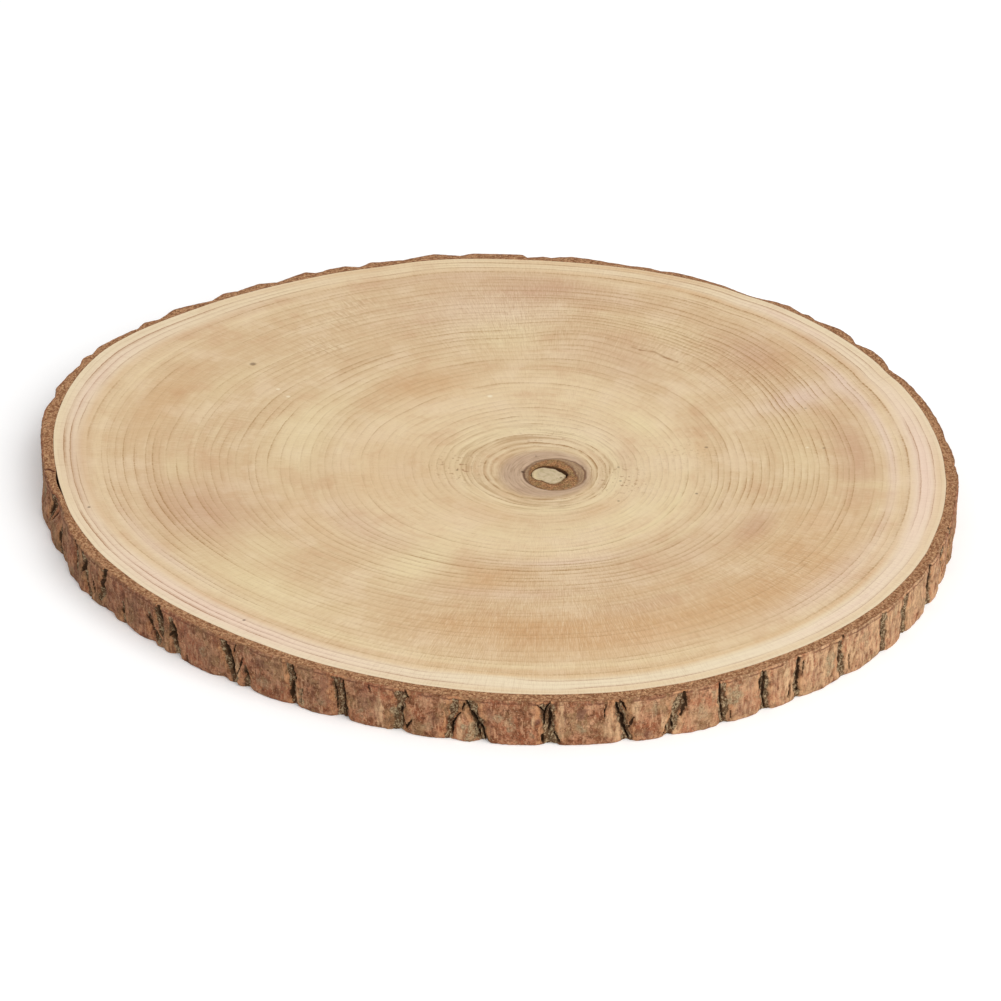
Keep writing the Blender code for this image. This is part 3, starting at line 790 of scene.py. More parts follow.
class BarkWall:
    """The bark's weathered outside, worked out point by point: how deep it lies and what it is."""

    def __init__(self, turns, heights):
        self.turns = turns
        self.heights = heights[:, None]
        self.high = self.heights / THICKNESS
        self.far = smooth(turns, FAR_SIDE[0] - 3.0, FAR_SIDE[0] + 5.0)
        self.depth = round_value(BARK_DEPTH, turns) + self.far * MM * np.interp(turns, *zip(*FAR_RIM))
        past_end = apart(turns, -180.0)
        self.bulge = MM * np.interp(past_end, *zip(*FOOT_BULGE))
        self.depth = self.depth + self.bulge
        self.gone = MM * np.interp(past_end, *zip(*HEAD_GONE))
        self.edge = wood_edge(turns)
        self.reach = self.edge + self.depth
        self.points = turned(turns[None, :], self.reach[None, :], self.heights)
        self.warp = WARP * grain(self.points, 0.0024, 1, octaves=2)
        self.warp += FINE_WARP * grain(self.points, 0.0009, 2)
        shape = self.points.shape[:-1]
        self.inset = np.full(shape, BARK_TRIM)
        self.crack, self.cleft, self.beside = np.zeros((3, *shape))
        self.nearest = np.full(shape, 0.02)
        self.breaks = grain(self.points, (0.0013, 0.0013, 0.0024), 48)
        cracks = all_cracks()
        self.lay_plates(cracks)
        for number, crack in enumerate(cracks):
            self.cut(number, crack)
        for number, cleft in enumerate(all_clefts(cracks)):
            self.split(number, cleft)
        self.fill_cracks()
        self.patch()
        self.weather()

    def lay_plates(self, cracks):
        """Each plate dips towards the cracks beside it, most of all at its foot."""
        draw = random.Random(SEED + 1)
        steps = np.array([draw.uniform(0.0, PLATE_STEP) for _ in cracks])
        middles = np.array([crack[0] for crack in cracks])
        after = np.searchsorted(middles, self.turns) % len(middles)
        before = after - 1
        width = (middles[after] - middles[before]) % 360.0
        share = ((self.turns - middles[before]) % 360.0) / np.maximum(width, 0.1)
        dip = np.abs(2.0 * np.clip(share, 0.0, 1.0) - 1.0) ** 1.8
        left = fall(self.turns, -176.0, -166.0)
        crown = PLATE_CROWN * (1.0 - 0.6 * np.maximum(left, self.far))
        self.inset = self.inset + crown * dip * (1.0 - 0.85 * self.high) + steps[after]
        self.inset += np.maximum(self.bulge, 0.0) * smooth(self.high, 0.25, 0.85)
        self.inset += self.gone * smooth(self.high, 0.40, 0.85)
        for angle, reach, depth in FOOT_NOTCHES:
            notch = bell(apart(self.turns, angle), reach) * fall(self.high, 0.0, 0.5)
            self.inset += depth * MM * notch

    def near(self, low, high):
        """The columns close to a feature that runs from one angle to another."""
        middle, half = 0.5 * (low + high), 0.5 * abs(high - low)
        return np.nonzero(np.abs(apart(self.turns, middle)) < half + 3.0)[0]

    def sway(self, number, seed):
        """How a feature wanders up the wall, and how its breadth varies."""
        trail = np.stack([np.full(len(self.heights), 3.1 * number), self.heights[:, 0] / 0.004,
                          np.zeros(len(self.heights))], axis=-1)
        return grain(trail, 1.0, seed, octaves=2)[:, None], grain(trail, 0.7, seed + 1)[:, None]

    def cut(self, number, crack):
        """Open one crack: a broad shallow trough with soft shoulders."""
        angle, width, depth, lean, foot, head = crack
        near = self.near(angle - 0.5 * abs(lean), angle + 0.5 * abs(lean))
        sway, breadth = self.sway(number, 21)
        past = np.maximum(np.maximum(foot - self.high, self.high - head), 0.0)
        opened = np.clip(1.0 - past / CRACK_FADE, 0.0, 1.0)
        off = np.radians(apart(self.turns[near], angle)[None, :] - lean * (self.high - 0.5))
        off = np.abs(off * self.reach[near] + CRACK_SWAY * sway + self.warp[:, near])
        half = 0.5 * width * (1.0 + 0.5 * breadth) * np.sqrt(opened) + 1e-6
        # Deepest below the middle, and closed before the upper rim
        deep = np.minimum(depth, CRACK_DEEPEST * self.depth[near]) * opened
        deep = deep * (0.65 + 0.25 * smooth(self.high, 0.0, 0.3) - 0.85 * smooth(self.high, 0.5, 1.0))
        inside = fall(off / half, 0.60, 1.40) * smooth(opened, 0.0, 0.35) * fall(self.high, 0.93, 0.99)
        self.inset[:, near] += deep * fall(off / half, 0.30, 1.70)
        raise_to(self.crack, near, inside)
        raise_to(self.beside, near, bell(np.maximum(off - half, 0.0), 0.0026) * opened)
        self.nearest[:, near] = np.minimum(self.nearest[:, near], off - half + 0.004 * (1.0 - opened))

    def split(self, number, cleft):
        """Open one dark cleft: a narrow stroke with pointed ends."""
        foot_turn, foot, head_turn, head, breadth = cleft
        near = self.near(foot_turn, head_turn)
        sway, swell = self.sway(number, 25)
        share = np.clip((self.heights / MM - foot) / (head - foot), 0.0, 1.0)
        past = np.maximum(np.maximum(foot - self.heights / MM, self.heights / MM - head), 0.0)
        taper = np.sqrt(np.sin(np.pi * np.clip(share, 0.05, 0.95)))
        ends = (0.5 + 0.5 * taper) * fall(past, 0.0, 1.0)
        middle = foot_turn + share * (head_turn - foot_turn)
        off = np.radians(apart(self.turns[near][None, :], middle)) * self.reach[near]
        off = np.abs(off + CLEFT_SWAY * sway + 0.6 * self.warp[:, near])
        half = 0.5 * breadth * MM * (1.0 + 0.45 * swell) * ends + 1e-6
        stroke = fall(off / half, 0.45, 1.45) * smooth(ends, 0.0, 0.4)
        raise_to(self.cleft, near, stroke * smooth(self.breaks[:, near], -0.65, -0.15))

    def fill_cracks(self):
        """Upright lumpy crusts in the cracks, cut by the clefts."""
        lumps = grain(self.points, (0.0011, 0.0011, 0.0020), 31, octaves=2)
        self.inset += self.crack * (CRUST_LUMPS * lumps + CRUST_GRIT * grain(self.points, 0.0007, 32))
        rim = 1.0 - 0.75 * smooth(self.high, 0.92, 1.0)
        self.inset += np.minimum(CLEFT_DEPTH, 0.3 * self.depth) * self.cleft * rim
        self.crust = self.crack * smooth(lumps, -0.45, 0.45) * (1.0 - self.cleft)

    def patch(self):
        """Crusty, pale and dark patches, each with its own ragged border."""
        upright = grain(self.points, (0.0016, 0.0016, 0.0050), 46, octaves=3)
        blur = grain(self.points, 0.0024, 45, octaves=3)
        self.patches = {}
        for kind, ragged in (("lichen", blur), ("tan", upright), ("plum", blur)):
            total = np.zeros(self.inset.shape)
            for angle, height, half_width, half_height, strength in all_patches(kind):
                spread = math.degrees(2.0 * half_width * MM / LEAST_REACH)
                near = self.near(angle - spread, angle + spread)
                off = np.radians(apart(self.turns[near], angle)) * self.reach[near] / MM
                square = (off / half_width) ** 2 + ((self.heights / MM - height) / half_height) ** 2
                patch = strength * smooth(1.5 + 1.6 * ragged[:, near] - square, 0.0, 1.3)
                raise_to(total, near, patch)
            self.patches[kind] = total
        self.inset += LICHEN_LUMPS * self.patches["lichen"] * grain(self.points, 0.0012, 47, octaves=2)
        self.inset -= TAN_RIDGES * self.patches["tan"] * upright
        # Painted light on the right and painted shade on the left, added to the tan and plum patches
        for kind, middle, half, strength in BARK_SIDE_LIGHT_AND_SHADE:
            side = strength * bell(apart(self.turns, middle), half)
            self.patches[kind] += side * smooth(upright, -0.7, 0.5) * (1.0 - self.patches[kind])

    def weather(self):
        """Roughness of the plates and wear along both rims."""
        self.inset += PLATE_WAVE * grain(self.points, (0.004, 0.004, 0.009), 41, octaves=3)
        self.inset += PLATE_GRIT * grain(self.points, 0.0014, 42, octaves=2)
        self.shell = np.minimum(self.nearest, np.minimum(self.heights, THICKNESS - self.heights))
        ledge = grain(self.points, (0.003, 0.003, 0.006), 43)
        layers = np.sin((self.shell + 0.0008 * ledge) / 0.00055)
        self.inset += PLATE_LAYERS * layers * smooth(self.shell, 0.001, 0.003)
        chips = 0.5 + 0.5 * grain(self.points, 0.005, 44, octaves=2)
        foot = np.clip(1.0 - self.heights / 0.0016, 0.0, 1.0)
        head = np.clip(1.0 - (THICKNESS - self.heights) / 0.0013, 0.0, 1.0)
        self.inset += FOOT_WEAR * foot ** 2 * (0.3 + chips) + HEAD_WEAR * head ** 2 * (0.4 + chips)
        self.inset = np.clip(self.inset, 0.0, self.depth - LEAST_BARK)


def make_bark():
    """The ring of bark: plates that stand out between ragged upright cracks."""
    turns = bark_turns()
    heights = THICKNESS * np.array(
        [0.0, 0.02, 0.045, 0.075] + list(np.linspace(0.105, 0.91, 29)) + [0.935, 0.955, 0.973, 0.988, 1.0]
    )
    wall = BarkWall(turns, heights)
    outside = turned(turns[None, :], wall.reach - wall.inset, wall.heights)
    inner = wall.edge + BARK_SEAM + parting(turns)
    shares = np.array([0.0, 0.14, 0.30, 0.46, 0.62, 0.77, 0.90])

    def cut_face(edge_row, level, upwards):
        edge = np.hypot(outside[edge_row, :, 0], outside[edge_row, :, 1])
        rows = []
        for share in shares:
            points = turned(turns, inner + share * (edge - inner), level)
            grains = np.maximum(0.0, 0.5 + 0.5 * grain(points, 0.0012, 51, octaves=2))
            points[..., 2] -= upwards * SAWN_GRAIN * grains * min(1.0, 0.3 + 4 * share)
            rows.append(points)
        return np.array(rows)

    under = cut_face(0, 0.0, -1.0)
    over = cut_face(-1, THICKNESS, 1.0)[::-1]
    rows = np.concatenate([under, outside, over])

    def laid(values, face_value=0.0):
        """A quality of the wall, with one value on the two cut faces."""
        face = np.full(under.shape[:-1], face_value)
        return np.concatenate([face, values, face])

    across = np.repeat(shares[:, None], len(turns), axis=1)
    qualities = {
        "cut": laid(np.zeros_like(wall.inset), 1.0),
        "across": np.concatenate([across, np.ones_like(wall.inset), across[::-1]]),
        "crack": laid(wall.crack),
        "cleft": laid(wall.cleft),
        "crust": laid(wall.crust),
        "beside": laid(wall.beside),
        "shell": laid(wall.shell / MM),
    }
    for kind, values in wall.patches.items():
        qualities[kind] = laid(values)
    settle(woven("bark_ring", rows, qualities), "bark", bark_finish())


class Value:
    """One socket of a material, on which plain arithmetic can be written."""

    def __init__(self, finish, socket):
        self.finish = finish
        self.socket = socket

    def __add__(self, other):
        return self.finish.maths("ADD", self, other)

    def __sub__(self, other):
        return self.finish.maths("SUBTRACT", self, other)

    def __rsub__(self, other):
        return self.finish.maths("SUBTRACT", other, self)

    def __mul__(self, other):
        return self.finish.maths("MULTIPLY", self, other)

    __radd__ = __add__
    __rmul__ = __mul__


class Finish:
    """A material, the colour laid on it so far, and the ways to add nodes to it."""

    def __init__(self, name, roughness, specular):
        self.material = bpy.data.materials.new(name)
        self.material.use_nodes = True
        self.tree = self.material.node_tree
        self.shader = self.tree.nodes["Principled BSDF"]
        self.shader.inputs["Roughness"].default_value = roughness
        self.shader.inputs["Specular IOR Level"].default_value = specular
        self.colour = None

    def node(self, kind, settings, sockets, out=0):
        """Add a node: its settings first, then the values or links of its sockets."""
        made = self.tree.nodes.new(kind)
        for setting, value in settings.items():
            if setting == "stops":
                self.set_stops(made.color_ramp, value)
            else:
                setattr(made, setting, value)
        for place, value in sockets.items():
            if isinstance(value, Value):
                self.tree.links.new(value.socket, made.inputs[place])
            else:
                made.inputs[place].default_value = value
        return Value(self, made.outputs[out])

    def set_stops(self, ramp, stops):
        while len(ramp.elements) < len(stops):
            ramp.elements.new(1.0)
        for element, (place, shade) in zip(ramp.elements, sorted(stops)):
            element.position = place
            element.color = (shade, shade, shade, 1.0)

    def maths(self, operation, *terms):
        return self.node("ShaderNodeMath", {"operation": operation}, dict(enumerate(terms)))

    def vector(self, operation, *terms, out=0):
        return self.node("ShaderNodeVectorMath", {"operation": operation}, dict(enumerate(terms)), out)

    def rise(self, value, low, high):
        """0 below low, 1 above high, and a smooth rise between."""
        sockets = {"Value": value, "From Min": low, "From Max": high}
        return self.node("ShaderNodeMapRange", {"interpolation_type": "SMOOTHSTEP"}, sockets)

    def band(self, value, middle, inner, outer):
        """1 within the inner distance of the middle value and 0 beyond the outer one."""
        return 1.0 - self.rise(self.maths("ABSOLUTE", value - middle), inner, outer)

    def mix(self, first, second, share):
        """Mix two colours, each a link or the three steps of a dye. The share is kept to 0 to 1."""
        first, second = (dye(*c) if isinstance(c, tuple) else c for c in (first, second))
        return self.node("ShaderNodeMix", {"data_type": "RGBA"}, {0: share, 6: first, 7: second}, out=2)

    def lay(self, tint, share):
        """Lay a tint over the colour so far."""
        self.colour = self.mix(self.colour, tint, share)

    def lay_marks(self, *marks):
        """Lay tints by their noise: the noise, where a mark starts and is full, strength, tint."""
        for value, low, high, strength, tint in marks:
            self.lay(tint, self.rise(value, low, high) * strength)

    def quality(self, name):
        return self.node("ShaderNodeAttribute", {"attribute_name": name}, {}, out="Fac")

    @cached_property
    def place(self):
        """Where a point of the piece lies, from the pith's middle on the underside."""
        return self.node("ShaderNodeTexCoord", {}, {}, out="Object")

    @cached_property
    def around(self):
        """Which way a point lies from the pith, as a flat arrow of length 1."""
        return self.vector("NORMALIZE", self.vector("MULTIPLY", self.place, (1.0, 1.0, 0.0)))

    def measure(self, axis):
        """How far along an axis, in millimetres."""
        return self.node("ShaderNodeSeparateXYZ", {}, {0: self.place}, out=axis) * (1.0 / MM)

    def noise(self, vector, scale, detail, roughness):
        """Noise of about 0 to 1."""
        sockets = {"Vector": vector, "Scale": scale, "Detail": detail, "Roughness": roughness}
        return self.node("ShaderNodeTexNoise", {}, sockets, out="Fac")

    def speckle(self, scale, detail=2.0, roughness=0.5, stretch=None):
        """Noise through the whole piece, which can be stretched along an axis."""
        place = self.vector("MULTIPLY", self.place, stretch) if stretch else self.place
        return self.noise(place, scale, detail, roughness)

    def ringed(self, out, turn_scale, out_scale, detail=2.0, roughness=0.5):
        """Noise in ring terms: its marks run along the rings or along the rays."""
        spun = self.vector("MULTIPLY", self.around, (turn_scale, turn_scale, 0.0))
        outwards = self.node("ShaderNodeCombineXYZ", {}, {"Z": out * out_scale})
        return self.noise(self.vector("ADD", spun, outwards), 1.0, detail, roughness)

    def spot(self, x, y, reach):
        """1 at a point of the upper face, given in millimetres, and 0 beyond its reach."""
        away = self.vector("DISTANCE", self.place, (x * MM, y * MM, THICKNESS), out="Value")
        return 1.0 - self.rise(away, 0.35 * reach * MM, reach * MM)

    def stroke(self, start, end, reach):
        """1 along a straight stroke on the upper face and 0 beyond its reach."""
        begin = (start[0] * MM, start[1] * MM, THICKNESS)
        along = Vector(((end[0] - start[0]) * MM, (end[1] - start[1]) * MM, 0.0))
        offset = self.vector("SUBTRACT", self.place, begin)
        share = self.vector("DOT_PRODUCT", offset, along / along.length_squared, out="Value")
        share = self.node("ShaderNodeClamp", {}, {"Value": share})
        nearest = self.node("ShaderNodeVectorMath", {"operation": "SCALE"}, {0: along, "Scale": share})
        away = self.vector("DISTANCE", offset, nearest, out="Value")
        return 1.0 - self.rise(away, 0.3 * reach * MM, reach * MM)

    def lay_strokes(self, points, reach, strength, tint):
        """Lay a fine crack of the upper face, point by point."""
        for start, end in zip(points, points[1:]):
            self.lay(tint, self.stroke(start, end, reach) * strength)

    def dress(self, relief, depth):
        """Give the shader its colour and its fine relief, and hand over the material."""
        bump = self.node("ShaderNodeBump", {}, {"Height": relief, "Distance": depth})
        self.tree.links.new(self.colour.socket, self.shader.inputs["Base Color"])
        self.tree.links.new(bump.socket, self.shader.inputs["Normal"])
        return self.material


def dye(red, green, blue):
    """A colour given in the steps of a screen, 0 to 255, as light."""
    steps = (red / 255.0, green / 255.0, blue / 255.0)
    light = [s / 12.92 if s <= 0.04045 else ((s + 0.055) / 1.055) ** 2.4 for s in steps]
    return (*light, 1.0)


def year_lines(finish, age):
    """All the dark lines that end the years' growth, as one shade of 0 to 1."""
    total = None
    for k in range(0, len(YEAR_LINES), LINES_TO_A_RAMP):
        lines = YEAR_LINES[k:k + LINES_TO_A_RAMP]
        low = lines[0][0] - 0.012
        high = lines[-1][0] + 0.008
        stops = [(0.0, 0.0), (1.0, 0.0)]
        for middle, dark, broad in lines:
            for offset, share in LINE_SHAPE:
                place = (middle + broad * offset - low) / (high - low)
                stops.append((min(1.0, max(0.0, place)), share * dark))
        near = finish.node("ShaderNodeMapRange", {}, {"Value": age, "From Min": low, "From Max": high})
        shade = finish.node("ShaderNodeValToRGB", {"stops": stops}, {0: near})
        total = shade if total is None else total + shade
    return total


def wood_finish():
    """Pale end grain: dark year lines, fine rays, soft stains and the corky ring."""
    finish = Finish("ringed_wood", roughness=0.58, specular=0.32)
    age = finish.quality("age")
    wobble = finish.ringed(age, 5.0, 6.0) - 0.5
    tremble = finish.ringed(age, 70.0, 40.0, 3.0) - 0.5
    away = 0.35 + 0.65 * finish.rise(age, 0.15, 0.35)
    true_age = age + 0.005 * wobble + 0.0026 * tremble * away

    bands = finish.ringed(true_age, 3.2, 46.0, 3.0, 0.6)
    clouds = finish.speckle(42.0, 4.0, 0.6)
    flecks = finish.ringed(age, 30.0, 60.0, 3.0, 0.65)
    blaze = finish.ringed(age, 7.0, 3.0)
    finish.colour = finish.mix((231, 205, 164), (210, 177, 135), finish.quality("tan"))
    finish.lay_marks(
        (bands, 0.50, 0.72, 0.34, (240, 220, 178)),
        (1.0 - bands, 0.52, 0.74, 0.30, (202, 158, 114)),
        (clouds, 0.48, 0.66, 0.44, (238, 214, 180)),
        (1.0 - clouds, 0.52, 0.68, 0.36, (206, 160, 120)),
        (flecks, 0.52, 0.70, 0.18, (240, 218, 180)),
        (1.0 - flecks, 0.54, 0.72, 0.15, (198, 152, 108)),
    )
    for kind, tint in STAIN_TINTS.items():
        finish.lay(tint, finish.quality(kind) * (0.44 + 0.36 * blaze))

    sapwood = finish.rise(true_age, 0.926, 0.954) * finish.quality("sap")
    finish.lay(finish.mix((240, 225, 194), (240, 211, 190), finish.quality("blush")), sapwood * 0.85)
    last_ring = finish.quality("ochre") * finish.rise(age, 0.968, 0.980)
    finish.lay((222, 184, 132), last_ring * 0.32)

    rough = 0.48 + 2.1 * finish.quality("torn")
    near = 1.0 - finish.rise(age, 0.17, 0.23)
    hatching = finish.ringed(age, 540.0, 32.0, 2.0, 0.6)
    long_rays = finish.ringed(age, 120.0, 9.0)
    pits = finish.speckle(640.0, 1.0)
    broad = finish.ringed(true_age, 1.1, 96.0)
    fibre = finish.speckle(1300.0, 3.0, 0.65)
    finish.lay_marks(
        (hatching, 0.48, 0.66, rough * 0.27, (244, 224, 188)),
        (1.0 - hatching, 0.50, 0.68, rough * 0.24, (170, 126, 86)),
        (long_rays, 0.58, 0.76, 0.12, (186, 146, 104)),
        (pits, 0.62, 0.67, finish.quality("pitted") * 0.8, (158, 106, 66)),
        (broad, 0.50, 0.64, near * 0.60, (238, 216, 176)),
        (1.0 - broad, 0.52, 0.66, near * 0.52, (188, 154, 110)),
        (fibre, 0.52, 0.80, rough * 0.26, (158, 116, 78)),
        (1.0 - fibre, 0.56, 0.80, rough * 0.22, (248, 232, 200)),
    )
    finish.lay(finish.mix((172, 130, 82), (178, 132, 104), sapwood), broken_lines(finish, age, true_age))
    lay_middle(finish)
    for spots, tint in ((SPECKS, (86, 58, 36)), (PALE_FLECKS, (248, 234, 204))):
        for x, y, reach, strength in spots:
            finish.lay(tint, finish.spot(x, y, reach) * strength)
    frayed = 0.45 + 0.55 * finish.rise(finish.speckle(320.0), 0.40, 0.60)
    finish.lay_strokes(KNOT_CRACK, 0.8, frayed * 0.8, (156, 108, 62))
    # Painted shade, partly the wood's own dark lip: the wall of the pith's hole and the rim turn dark brown
    # below the cut faces
    finish.lay((112, 76, 46), finish.rise(finish.quality("depth"), 0.25, 0.9))

    relief = fibre * 0.3 + hatching * 0.5 + finish.speckle(5200.0) * 0.2
    crumbs = finish.speckle(1900.0, 4.0, 0.7) * (1.0 - finish.rise(finish.quality("cork"), 0.95, 1.05))
    return finish.dress(relief + crumbs * 2.0, 0.00025)


def broken_lines(finish, age, true_age):
    """The year lines as they show: thin, broken, and stronger in some stretches than in others."""
    fade = finish.ringed(age, 4.0, 30.0)
    gaps = finish.ringed(age, 16.0, 70.0)
    dots = finish.ringed(age, 240.0, 120.0, 1.0)
    young = finish.rise(true_age, 0.93, 0.945)
    grains = 0.15 + 0.8 * gaps + finish.rise(dots, 0.35, 0.65)
    grains = grains + (1.0 - grains) * young * 0.6
    strength = (0.30 + 1.15 * finish.rise(fade, 0.34, 0.64)) * grains * (1.2 + 0.4 * young)
    faint = finish.rise(finish.ringed(true_age, 7.0, 200.0, 2.0, 0.7), 0.50, 0.74) * (0.2 + 0.5 * gaps)
    return year_lines(finish, true_age) * strength * finish.quality("bold") * 1.2 + faint * 0.25


def lay_middle(finish):
    """The corky ring round the pith with its dark outline, and the mauve stain outside it."""
    cork = finish.quality("cork")
    cloud = finish.speckle(260.0, 3.0, 0.6)
    crumbs = finish.speckle(1500.0, 4.0, 0.7)
    hoops = finish.ringed(cork, 2.0, 19.0, 3.0, 0.65)

    finish.lay((234, 210, 168), finish.quality("halo") * 0.7)
    stain = 1.0 - finish.rise(finish.quality("mauve") + 0.10 * (cloud - 0.5), 0.80, 1.06)
    finish.lay((196, 165, 138), stain * 0.86)
    finish.lay_marks((hoops, 0.48, 0.62, stain * 0.5, (162, 130, 98)),
                     (1.0 - hoops, 0.52, 0.66, stain * 0.5, (214, 184, 150)))
    ragged = cork + 0.08 * (finish.speckle(420.0) - 0.5) + 0.05 * (crumbs - 0.5)
    corky = 1.0 - finish.rise(ragged, 0.96, 1.02)
    dull = finish.mix((184, 150, 114), (148, 114, 80), finish.rise(hoops + crumbs, 0.85, 1.20))
    finish.lay(dull, corky * 0.95)

    rust = finish.quality("rust") + 0.14 * (finish.speckle(600.0, 3.0, 0.6) - 0.5)
    brown = finish.mix((168, 116, 72), (156, 122, 76), finish.rise(cloud, 0.40, 0.60))
    brown = finish.mix((104, 70, 38), brown, finish.rise(crumbs, 0.36, 0.50))
    brown = finish.mix(brown, (214, 166, 114), finish.rise(crumbs, 0.53, 0.64) * 0.9)
    finish.lay(brown, (1.0 - finish.rise(rust, 0.96, 1.04)) * corky)
    finish.lay((112, 68, 44), finish.band(rust, 0.99, 0.02, 0.09) * finish.quality("rusty_edge") * 0.8)
    finish.lay((108, 72, 46), finish.band(ragged, 0.99, 0.015, 0.055) * finish.quality("outline") * 0.85)


def pith_finish():
    """Soft pale pith with fine fibres, warmer towards its left edge, and painted shade round its rim."""
    finish = Finish("soft_pith", roughness=0.85, specular=0.15)
    share = finish.quality("share")
    cloud = finish.speckle(420.0, 4.0, 0.6)
    fibre = finish.speckle(900.0, 3.0, 0.6, stretch=(1.0, 3.0, 1.0))
    finish.colour = finish.mix((207, 187, 154), (184, 166, 128), finish.rise(cloud, 0.38, 0.68))
    finish.lay_marks((fibre, 0.52, 0.75, 0.6, (220, 198, 166)))
    left = finish.rise(finish.measure("X") * -1.0, 2.0, 6.5) * finish.rise(share, 0.6, 0.9)
    finish.lay((226, 203, 160), left * (0.4 + 0.8 * finish.ringed(share, 9.0, 1.0)))
    # Painted shade round the pith's rim where it sinks into its gap, weaker at the left where it stands level
    edge = finish.rise(share + 0.2 * (cloud - 0.5), 0.88, 1.03) * (1.0 - left * 0.7)
    finish.lay((128, 98, 64), edge * 0.8)
    finish.lay((112, 92, 62), finish.spot(5.2, -2.0, 1.2) * 0.9)
    return finish.dress(cloud + fibre * 0.6, 0.0004)


def bark_finish():
    """Reddish-brown plates, clefts darkened with painted shade, grey-tan crusts, and grainy cut faces."""
    finish = Finish("cracked_bark", roughness=0.88, specular=0.18)
    hue = finish.speckle(85.0, 3.0, 0.6)
    cloud = finish.speckle(210.0, 3.0, 0.6)
    mottle = finish.speckle(520.0, 4.0, 0.65)
    streak = finish.speckle(900.0, 3.0, 0.6, stretch=(1.0, 1.0, 0.30))
    speck = finish.speckle(1300.0, 3.0, 0.65)
    grit = finish.speckle(1500.0, 4.0, 0.7)
    finish.colour = finish.mix((129, 82, 53), (184, 132, 98), finish.rise(cloud, 0.42, 0.58))
    finish.lay_marks(
        (hue, 0.50, 0.64, 0.55, (150, 122, 84)),
        (1.0 - hue, 0.50, 0.64, 0.58, (168, 98, 66)),
        (mottle, 0.53, 0.65, 0.75, (90, 52, 28)),
        (1.0 - mottle, 0.54, 0.66, 0.62, (160, 130, 94)),
        (streak, 0.53, 0.65, 0.58, (214, 164, 126)),
        (grit, 0.55, 0.64, 0.54, (80, 44, 22)),
        (1.0 - grit, 0.56, 0.66, 0.48, (226, 186, 150)),
        (streak + 0.5 * (cloud - 0.5), 0.40, 0.62, finish.quality("beside") * 0.60, (200, 142, 94)),
    )
    # The plum and tan patches also carry painted shade on the left and painted light on the right, besides
    # the bark's own patches
    finish.lay((116, 76, 62), finish.quality("plum") * (0.40 + 0.6 * mottle))
    finish.lay((222, 182, 140), finish.quality("tan") * (0.45 + 0.8 * finish.rise(streak, 0.36, 0.60)) * 0.85)
    crusty = finish.mix((122, 104, 74), (192, 174, 138), finish.rise(speck, 0.36, 0.64))
    finish.lay(crusty, finish.quality("lichen") * (0.55 + 0.6 * finish.rise(mottle, 0.36, 0.60)) * 0.75)

    rings = finish.maths("SINE", (finish.quality("shell") + 2.4 * (cloud - 0.5)) * 3.4)
    finish.lay((92, 52, 38), finish.rise(rings, 0.72, 0.98) * finish.rise(mottle, 0.40, 0.62) * 0.30)
    # Painted shade: a dark line just below the upper rim, as under a slight overhang
    shade_below_rim = finish.band(finish.measure("Z") + 2.4 * (cloud - 0.5), 19.1, 0.15, 0.6)
    finish.lay((100, 58, 42), shade_below_rim * finish.rise(cloud, 0.40, 0.56) * 0.7)
    lumps = finish.rise(finish.quality("crust") * 0.5 + 2.6 * (speck - 0.5), 0.05, 0.75)
    finish.lay_marks(
        (finish.quality("crack") + 0.9 * (mottle - 0.5), 0.25, 0.80, 0.80,
         finish.mix((60, 41, 20), (194, 174, 138), lumps)),
        # The clefts' dark brown is painted shade in the narrow grooves cut for them
        (finish.quality("cleft") + speck - 0.5, 0.30, 0.60, 0.94, (58, 38, 20)),
    )
    finish.lay(sawn_bark(finish, speck), finish.quality("cut"))
    finish.lay_strokes(PARTING_CRACK, 0.9, 0.85, (84, 40, 22))
    return finish.dress(mottle + streak * 0.6 + speck * 0.8 + grit * 0.4, 0.0008)


def sawn_bark(finish, speck):
    """The bark's cut face: thin layers along the rim, darker at their outer edge, partly its own colour and
    partly painted shade.
    """
    across = finish.quality("across")
    layers = finish.ringed(across, 110.0, 4.2, 3.0, 0.6)
    flecks = finish.ringed(across, 210.0, 5.0, 2.0, 0.6)
    sawn = finish.mix((142, 95, 62), (192, 143, 104), finish.rise(layers, 0.40, 0.60))
    sawn = finish.mix(sawn, (226, 184, 136), finish.rise(flecks, 0.54, 0.68) * 0.8)
    sawn = finish.mix(sawn, (88, 50, 28), finish.rise(speck, 0.54, 0.66) * 0.68)
    # Painted shade together with the bark's own darker outer layer: the outer part of the cut face darkens
    return finish.mix(sawn, (112, 70, 48), finish.rise(across, 0.80, 1.0) * 0.5)


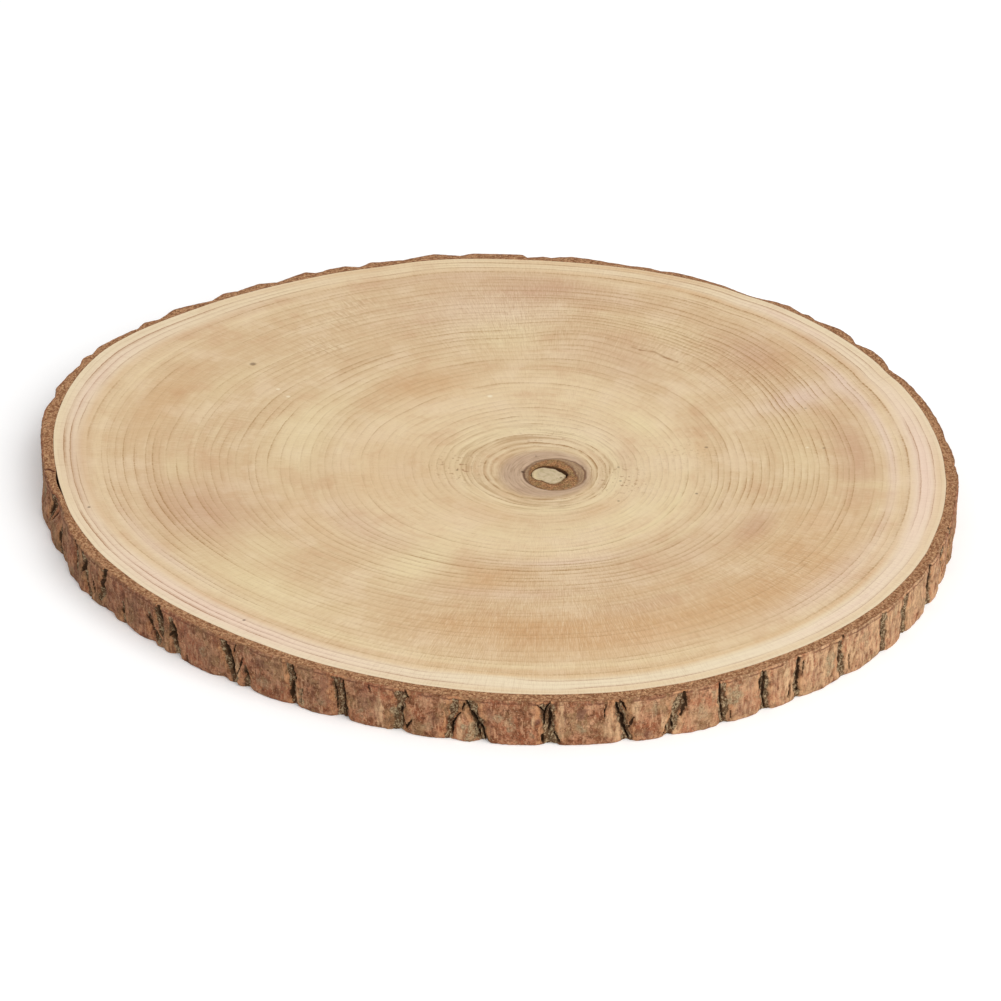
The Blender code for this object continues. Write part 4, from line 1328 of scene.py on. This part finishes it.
def make_floor():
    """A plain pale floor, a little lit from within so that shadows stay faint."""
    wide = FLOOR_PARTS + 1
    steps = np.linspace(-FLOOR_REACH, FLOOR_REACH, wide)
    verts = [(x, y, -FLOOR_DROP) for y in steps for x in steps]
    corners = [r * wide + c for r in range(FLOOR_PARTS) for c in range(FLOOR_PARTS)]
    mesh = bpy.data.meshes.new("floor")
    mesh.from_pydata(verts, [], [(k, k + 1, k + wide + 1, k + wide) for k in corners])
    floor = stand("floor", mesh)
    finish = Finish("pale_floor", roughness=0.9, specular=0.1)
    finish.shader.inputs["Base Color"].default_value = (0.95, 0.95, 0.95, 1.0)
    finish.shader.inputs["Emission Color"].default_value = (1.0, 1.0, 1.0, 1.0)
    finish.shader.inputs["Emission Strength"].default_value = FLOOR_GLOW
    mesh.materials.append(finish.material)


def light_studio():
    """Soft light from all round, with a large lamp over the right shoulder."""
    scene = bpy.context.scene
    scene.view_settings.view_transform = "Standard"
    scene.world = bpy.data.worlds.new("studio")
    scene.world.use_nodes = True
    sky = scene.world.node_tree.nodes["Background"].inputs
    sky["Color"].default_value = (1.0, 1.0, 1.0, 1.0)
    sky["Strength"].default_value = SKY_STRENGTH
    lamp = bpy.data.lights.new("key", "AREA")
    lamp.size, lamp.energy, lamp.color = LAMP_SIZE, LAMP_WATTS, LAMP_COLOUR
    key = stand("key", lamp, LAMP_PLACE)
    key.rotation_euler = (-key.location).to_track_quat("-Z", "Y").to_euler()


def place_camera():
    lens = bpy.data.cameras.new("camera")
    lens.lens = CAMERA_LENS
    lens.sensor_width = 36.0
    lens.clip_start, lens.clip_end = 0.05, 50.0
    offset = Vector((-CAMERA_LEFT, -CAMERA_BACK, THICKNESS + CAMERA_OVER_FACE))
    camera = stand("camera", lens, CENTRE + offset)
    camera.rotation_euler = (math.radians(90.0 - CAMERA_PITCH), 0.0, 0.0)
    bpy.context.scene.camera = camera


CENTRE = growth_centre()
make_wood()
make_bark()
make_pith()
make_floor()
light_studio()
place_camera()
